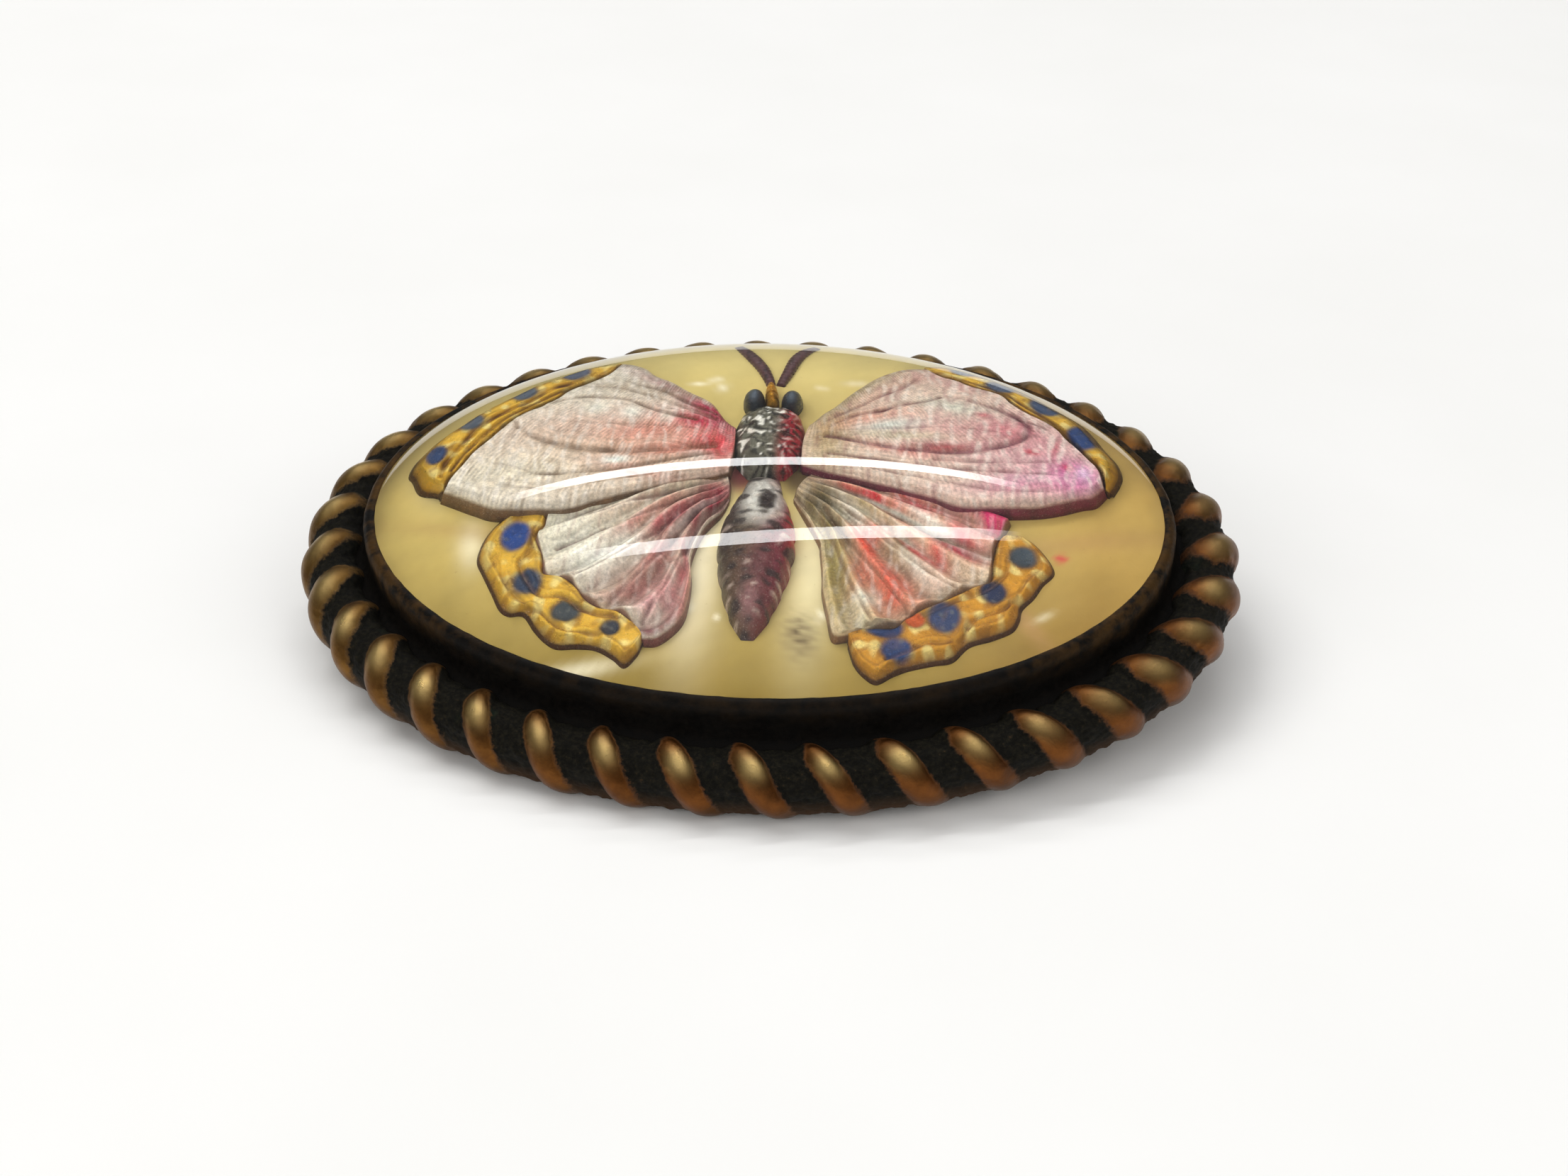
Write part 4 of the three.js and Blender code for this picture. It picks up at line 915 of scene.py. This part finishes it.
HIND_RIGHT_MARKS = (
    (2.65, 0.3, 1.2, 0.6, -55, (104, 86, 48), 0.9), (6.5, -2.4, 1.2, 0.22, -60, (126, 110, 74), 0.8),
    (3.8, -4.2, 0.4, 2.2, 4, (170, 152, 92), 0.75), (5.3, -1.95, 0.6, 0.55, -45, (224, 96, 76), 0.85),
    (6.4, -4.6, 1.4, 0.45, -42, (220, 92, 76), 0.85), (8.4, -3, 0.7, 0.25, -60, (208, 72, 66), 0.85),
    (9.5, -1.85, 0.8, 0.35, -42, (196, 50, 70), 0.85), (6.6, 0.85, 0.9, 0.18, -25, (204, 44, 50), 0.85),
    (5.2, -6, 0.5, 0.5, 0, (246, 242, 226), 0.85), (8, -1, 1.1, 0.22, -40, (250, 242, 234), 0.8),
    (4.2, -0.6, 1.4, 0.25, -58, (240, 228, 220), 0.7), (7.4, -3.9, 0.9, 0.2, -50, (244, 232, 220), 0.7),
)

# Streaks of paint along the fan of a hindwing: (u, v, half length, half width, colour, amount).
HIND_LEFT_FAN = (
    (0.75, 0.08, 0.3, 0.1, (232, 222, 200), 0.8), (0.45, 0.2, 0.2, 0.05, (206, 168, 146), 0.6),
    (0.5, 0.36, 0.22, 0.05, (206, 128, 118), 0.8), (0.3, 0.42, 0.16, 0.05, (220, 152, 138), 0.7),
    (0.24, 0.62, 0.24, 0.08, (158, 26, 54), 1), (0.14, 0.82, 0.2, 0.12, (142, 20, 48), 1),
    (0.4, 0.52, 0.2, 0.04, (190, 96, 96), 0.8), (0.3, 0.7, 0.2, 0.025, (238, 226, 222), 0.8),
    (0.72, 0.46, 0.14, 0.1, (250, 242, 232), 0.9), (0.9, 0.42, 0.1, 0.08, (214, 186, 166), 0.6),
    (0.6, 0.72, 0.18, 0.08, (146, 92, 84), 0.95), (0.84, 0.7, 0.14, 0.09, (164, 104, 98), 0.9),
    (0.8, 0.86, 0.12, 0.06, (222, 160, 170), 0.85), (0.55, 0.9, 0.2, 0.06, (206, 112, 116), 0.8),
    (0.92, 0.97, 0.2, 0.04, (112, 56, 66), 0.8), (0.66, 0.99, 0.12, 0.04, (196, 60, 66), 0.6),
)
HIND_RIGHT_FAN = (
    (0.2, 0.82, 0.22, 0.1, (122, 104, 62), 0.95), (0.6, 0.93, 0.35, 0.06, (174, 160, 88), 0.85),
    (0.3, 0.6, 0.2, 0.05, (234, 226, 208), 0.8), (0.62, 0.56, 0.26, 0.035, (124, 110, 68), 0.85),
    (0.34, 0.2, 0.18, 0.045, (206, 44, 52), 1), (0.6, 0.1, 0.18, 0.06, (218, 104, 110), 0.9),
    (0.97, 0.03, 0.14, 0.14, (206, 44, 100), 1), (0.82, 0.28, 0.1, 0.05, (196, 48, 76), 0.95),
    (0.6, 0.3, 0.14, 0.03, (220, 120, 110), 0.7), (0.7, 0.42, 0.14, 0.04, (208, 52, 56), 1),
    (0.52, 0.64, 0.12, 0.055, (216, 70, 48), 1), (0.84, 0.7, 0.12, 0.08, (206, 66, 46), 1),
    (0.74, 0.84, 0.2, 0.09, (186, 122, 72), 0.8), (0.66, 0.74, 0.1, 0.05, (222, 124, 100), 0.8),
    (0.55, 0.24, 0.4, 0.014, (232, 228, 216), 0.9), (0.4, 0.4, 0.3, 0.016, (226, 216, 196), 0.8),
    (0.86, 0.5, 0.12, 0.05, (232, 196, 184), 0.7), (0.9, 0.88, 0.1, 0.05, (222, 210, 176), 0.7),
    (0.3, 0.34, 0.12, 0.03, (176, 150, 110), 0.7),
)


def base_tone(xy, tone):
    return np.broadcast_to(srgb(*tone), (*xy.shape[:-1], 3)).copy()


def layered(xy, tone, layers):
    """A base colour with others laid over it in turn: (colour, amount at each point)."""
    colour = base_tone(xy, tone)
    for tint, amount in layers:
        colour = mix(colour, srgb(*tint), amount)
    return colour


def touches(colour, xy, marks):
    """Adds soft dabs in plan."""
    for x, y, wide, tall, turn, tint, amount in marks:
        colour = mix(colour, srgb(*tint), dab(xy, x, y, wide, tall, turn) * amount)
    return colour


def streaks(colour, u, v, marks):
    """Adds soft ragged streaks along the fan."""
    place = np.stack([u, v], axis=-1)
    ragged = 1 + 0.35 * ripple(place, 0.16, 27)
    for along, across, length, width, tint, amount in marks:
        colour = mix(colour, srgb(*tint), dab(place, along, across, length, width) * amount * ragged)
    return colour


def make_wings():
    pearl = paint_material("pearl_paint", 0.3, 0.36, 0.03, 1.0)
    for name, edges, veins, kind, tone, fan, marks, seed, wall in (
        ("forewing_left", FORE_LEFT, FORE_LEFT_VEINS, FOREWING, (236, 222, 208), (), FORE_LEFT_MARKS, 41,
         (112, 84, 58)),
        ("forewing_right", FORE_RIGHT, FORE_RIGHT_VEINS, FOREWING, (232, 202, 186), (), FORE_RIGHT_MARKS, 42,
         (112, 40, 66)),
        ("hindwing_left", HIND_LEFT, HIND_LEFT_VEINS, HINDWING, (220, 206, 186), HIND_LEFT_FAN,
         HIND_LEFT_MARKS, 43, (112, 62, 62)),
        ("hindwing_right", HIND_RIGHT, HIND_RIGHT_VEINS, HINDWING, (214, 188, 160), HIND_RIGHT_FAN,
         HIND_RIGHT_MARKS, 44, (124, 88, 58)),
    ):
        piece = make_wing(name, edges, veins, kind, (tone, fan, marks, seed), srgb(*wall))
        piece.data.materials.append(pearl)


def make_borders():
    paint_material("gold_paint", 0.6, 0.28, 0.03, 0.45)
    make_border("forewing", "left", FORE_LEFT_BORDER, FORE_BORDER_HEIGHT, GOLD)
    make_border("forewing", "right", FORE_RIGHT_BORDER, FORE_BORDER_HEIGHT, GOLD)
    make_border("hindwing", "left", HIND_LEFT_BORDER, HIND_BORDER_HEIGHT, GOLD)
    make_border("hindwing", "right", HIND_RIGHT_BORDER, HIND_BORDER_HEIGHT, AMBER_GOLD)


def make_loft(node, name, spine, widths, height, painter, material, rings=0, ring_count=6, lump=0):
    """A rounded relief along a spine, given its half widths at the spine's points."""
    along, around = 90, 40
    line = raised(spline(spine, along), 0.25 * height)
    t = np.linspace(0, 1, along)
    half = np.interp(t, np.linspace(0, 1, len(widths)), widths)
    half = np.maximum(half, 0.03)
    across = np.gradient(line, axis=0)
    across /= np.linalg.norm(across, axis=1, keepdims=True)
    across = np.stack([-across[:, 1], across[:, 0]], axis=1)
    angle = np.linspace(0, math.pi, around)
    band = 1 - rings * (0.5 + 0.5 * np.cos(2 * math.pi * ring_count * t)) ** 3
    xy = line[:, None] + across[:, None] * (half * band)[:, None, None] * np.cos(angle)[None, :, None]
    ends = np.sqrt(np.clip(1 - (2 * t - 1) ** 8, 0, 1))
    crest = height * (np.minimum(1, half / max(widths)) ** 0.6 * ends * band)
    top = crest[:, None] * np.sin(angle)[None] ** 0.75 * (1 + lump * ripple(xy, 0.55, 51))
    piece, plan, levels, _ = closed_grid(name, xy, np.maximum(top, 0.0), 0.03)
    give_colour(piece, painter(plan, levels))
    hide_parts(node)
    piece.data.materials.append(material)


def make_body():
    silk = paint_material("body_paint", 0.3, 0.28, 0.03, 0.8)
    dark = paint_material("dark_paint", 0.2, 0.3, 0.02, 0.35)

    def thorax(xy, _):
        bent = xy + 0.4 * np.stack([ripple(xy, 1.1, 63), ripple(xy, 1.3, 66)], axis=-1)
        hairs = ripple(bent * (1.7, 1), 0.6, 61, 16)
        left = 1 / (1 + np.exp((xy[..., 0] - 0.5) / 0.15))
        return layered(xy, (104, 104, 92), (
            ((160, 18, 44), 1 / (1 + np.exp(-(xy[..., 0] - 0.35) / 0.12))),
            ((238, 238, 230), np.clip(hairs * 3 - 1.0, 0, 1) * (0.25 + 0.75 * left)),
            ((22, 20, 24), np.clip(-hairs * 3 - 0.4, 0, 1) * 0.88),
            ((214, 120, 112), dab(xy, 1.55, 3.8, 0.16, 2.2) * 0.85),
        ))

    def abdomen(xy, _):
        bright = ripple(xy, 0.8, 62, 14)
        return layered(xy, (84, 66, 46), (
            ((112, 20, 44), 1 / (1 + np.exp(-(xy[..., 0] - 0.2) / 0.25))),
            ((98, 50, 58), dab(xy, 0.1, -5.0, 0.8, 1.3) * 0.7),
            ((150, 104, 108), dab(xy, -0.2, -6.9, 0.4, 0.6) * 0.7),
            ((226, 226, 220), dab(xy, -0.2, -0.6, 1.1, 1.7, 0, 2) * 0.92),
            ((190, 20, 36), dab(xy, 1.45, -1.6, 0.26, 2.4, 4) * 0.9),
            ((30, 20, 22), dab(xy, -1.5, -2.4, 0.4, 3.2, -4) * 0.85),
            ((214, 196, 184), np.clip(bright * 2.6 - 1.5, 0, 1) * 0.6),
            ((26, 12, 18), np.clip(-bright * 2.4 - 0.4, 0, 1) * 0.85),
            ((24, 8, 14), dab(xy, 0.1, -0.75, 0.44, 0.72, 0, 3)),
        ))

    def gold(xy, _):
        return layered(xy, (206, 150, 44), [((120, 70, 26), np.clip(ripple(xy, 0.5, 64), 0, 1) * 0.6)])

    def eye(xy, levels):
        # painted highlight: the eye is paler where it stands highest
        return layered(xy, (40, 48, 58), [((108, 124, 140), np.clip(levels - 1.5, 0, 1) * 0.9)])

    def feeler(xy, _):
        return layered(xy, (84, 56, 60), [((48, 32, 38), np.clip(ripple(xy, 0.45, 65), 0, 1) * 0.8)])

    make_loft(
        "thorax", "thorax_relief", [(-0.35, 6.5), (-0.3, 5), (-0.25, 3.4), (-0.2, 1.5)],
        [1.0, 1.5, 1.72, 1.75, 1.7, 1.5, 0.9], 2.2, thorax, silk, lump=0.08,
    )
    make_loft(
        "abdomen", "abdomen_relief", [(-0.25, 1.5), (-0.2, -2.4), (-0.15, -5.5), (-0.1, -8.5)],
        [0.75, 0.95, 1.3, 1.65, 1.82, 1.85, 1.75, 1.55, 1.25, 0.9, 0.3],
        1.9, abdomen, silk, 0.05, 7, 0.05,
    )
    make_loft(
        "head", "head_strip", [(-0.67, 8.8), (-0.5, 7.6), (-0.33, 6.45)], [0.12, 0.24, 0.32, 0.36, 0.34, 0.3],
        1.7, gold, bpy.data.materials["gold_paint"], 0.12, 5,
    )
    for node, x in (("eye_left", -1.33), ("eye_right", 0.57)):
        make_loft(
            node, f"{node}_relief", [(x, 7.85), (x, 7.0), (x, 6.15)],
            [0.15, 0.42, 0.52, 0.54, 0.5, 0.4, 0.15], 1.9, eye, dark,
        )
    for node, spine in (
        ("antenna_left", [(-0.65, 8.6), (-0.8, 9.1), (-1.2, 10.1), (-1.7, 11), (-2.2, 11.8), (-2.8, 12.7)]),
        ("antenna_right", [(-0.2, 8.6), (0.1, 9.9), (0.35, 11.2), (0.75, 12.2), (1.3, 12.9)]),
    ):
        make_loft(
            node, f"{node}_relief", spine, [0.24, 0.3, 0.34, 0.36, 0.34, 0.24],
            0.5, feeler, dark, 0.12, 16,
        )


# ---- Fittings that keep their CAD shape ----
def finish_fittings():
    brass = metal_material("fitting_brass", srgb(196, 158, 88), srgb(110, 80, 40), 0.34, 0.6)
    steel = metal_material("pin_steel", srgb(206, 200, 190), srgb(130, 122, 110), 0.26, 0.4)
    card = Maker("card")
    card.finish(
        Base_Color=card.blend(card.noise(0.6, 4), srgb(150, 134, 104), srgb(176, 158, 124)),
        Roughness=0.9,
        Normal=card.bump(card.noise(0.2, 3), 0.02),
    )
    chosen = {node: brass for node in ("hinge_base", "hinge_rivet", "catch_body", "catch_sleeve")}
    chosen |= {"pin_stem": steel, "backing_card": card.material}
    for node, material in chosen.items():
        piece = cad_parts[node]
        for place in piece.material_slots:
            place.material = material


# ---- Table, light and camera ----
def table_plane():
    """The table's height at the origin and its slopes: it touches the catch, the hinge and the border."""
    catch_low, catch_high = (np.array(corner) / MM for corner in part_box("catch_body"))
    hinge_low, hinge_high = (np.array(corner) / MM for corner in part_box("hinge_base"))
    foot = catch_low[1] + FOOT_INSET
    right = np.array([(catch_low[0] + catch_high[0]) / 2, foot, catch_low[2]])
    left = np.array([(hinge_low[0] + hinge_high[0]) / 2, foot, hinge_low[2]])
    slope_x = (right[2] - left[2]) / (right[0] - left[0])
    rope = bpy.data.objects["rope_border_wires"].data.vertices
    points = np.empty(len(rope) * 3)
    rope.foreach_get("co", points)
    points = points.reshape(-1, 3) / MM
    front = points[points[:, 1] < -5]
    rise = front[:, 2] - right[2] - slope_x * (front[:, 0] - right[0])
    slope_y = np.max(rise / (front[:, 1] - right[1]))
    height = right[2] - slope_x * right[0] - slope_y * right[1]
    return height, slope_x, slope_y


def make_table():
    height, slope_x, slope_y = table_plane()
    up = Vector((-slope_x, -slope_y, 1)).normalized()
    mesh = bpy.data.meshes.new("table")
    half = 1.5  # metres
    corners = [(-half, -half, 0), (half, -half, 0), (half, half, 0), (-half, half, 0)]
    mesh.from_pydata(corners, [], [(0, 1, 2, 3)])
    table = bpy.data.objects.new("table", mesh)
    bpy.context.scene.collection.objects.link(table)
    table.rotation_mode = "QUATERNION"
    table.rotation_quaternion = Vector((0, 0, 1)).rotation_difference(up)
    table.location = (0, 0, (height - TABLE_GAP) * MM)
    mesh.materials.append(floor_material())


def area_light(name, place, aim, size, watts, colour=(1, 1, 1), turn=None):
    data = bpy.data.lights.new(name, "AREA")
    data.shape = "RECTANGLE"
    data.size, data.size_y = size[0] * MM, size[1] * MM
    data.energy = watts
    data.color = colour
    lamp = bpy.data.objects.new(name, data)
    bpy.context.scene.collection.objects.link(lamp)
    place, aim = Vector(place) * MM, Vector(aim) * MM
    back = (place - aim).normalized()
    along = Vector(turn or (1, 0, 0))
    along = (along - back * along.dot(back)).normalized()
    axes = Matrix((along, back.cross(along), back)).transposed().to_4x4()
    lamp.matrix_world = Matrix.Translation(place) @ axes
    return lamp


def fade_ends(lamp):
    """Dims a strip light towards its two ends."""
    light = Nodes(lamp.data.node_tree)
    along = light.split(light.node("NewGeometry").outputs["Parametric"], 0)
    off_middle = light.math("ABSOLUTE", light.math("SUBTRACT", along, 0.5))
    inside = light.math("ADD", light.math("MULTIPLY", off_middle, -2), 1)
    strength = light.math("MULTIPLY", inside, 2.6, clamp=True)
    light.link(strength, light.tree.nodes["Emission"].inputs["Strength"])


def brighter_above(tree, low, high):
    """Gives the room dim walls and a brighter ceiling."""
    room = Nodes(tree)
    up = room.split(room.node("TexCoord").outputs["Generated"], "Z")
    curve = room.math("POWER", up, 3, clamp=True)
    room.link(room.span(curve, 0, 1, low, high), tree.nodes["Background"].inputs["Strength"])


def make_lights():
    world = bpy.data.worlds.new("studio")
    world.use_nodes = True
    world.node_tree.nodes["Background"].inputs["Color"].default_value = (1.0, 0.993, 0.98, 1)
    brighter_above(world.node_tree, 0.12, 0.7)
    bpy.context.scene.world = world
    tubes = (
        area_light("tube_far", (-90, 655, 600), (0, 0, 5), (800, 32), 0.95, turn=(1, 0.22, 0)),
        area_light("tube_near", (-10, 322, 600), (0, 0, 5), (600, 40), 0.85, turn=(1, 0.33, 0)),
    )
    for tube in tubes:
        tube.data.use_nodes = True
        fade_ends(tube)
    fills = (
        area_light("soft_left", (-350, 200, 650), (0, 0, 0), (450, 450), 2.05, WARM_WHITE),
        area_light("soft_front", (-380, -520, 420), (0, 0, 0), (600, 500), 2.2, WARM_WHITE),
        area_light("soft_right", (520, -260, 420), (0, 0, 0), (600, 500), 1.5, WARM_WHITE),
    )
    for fill in fills:
        fill.visible_glossy = False


def make_camera():
    data = bpy.data.cameras.new("camera")
    data.sensor_width = 36
    data.lens = LENS
    data.clip_start = 0.001
    data.clip_end = 20
    camera = bpy.data.objects.new("camera", data)
    bpy.context.scene.collection.objects.link(camera)
    flat = math.cos(ELEVATION)
    back = Vector((math.sin(AZIMUTH) * flat, -math.cos(AZIMUTH) * flat, math.sin(ELEVATION)))
    right = (-back).cross(Vector((0, 0, 1))).normalized()
    up = right.cross(-back)
    turned = math.cos(ROLL) * right + math.sin(ROLL) * up
    upright = math.cos(ROLL) * up - math.sin(ROLL) * right
    axes = Matrix((turned, upright, back)).transposed().to_4x4()
    camera.matrix_world = Matrix.Translation(TARGET + back * DISTANCE) @ axes
    bpy.context.scene.camera = camera


make_camera()
make_rope()
make_bezel()
make_plate()
make_ground()
make_glass()
make_wings()
make_borders()
make_body()
finish_fittings()
make_table()
make_lights()
bpy.context.scene.view_settings.view_transform = "Standard"
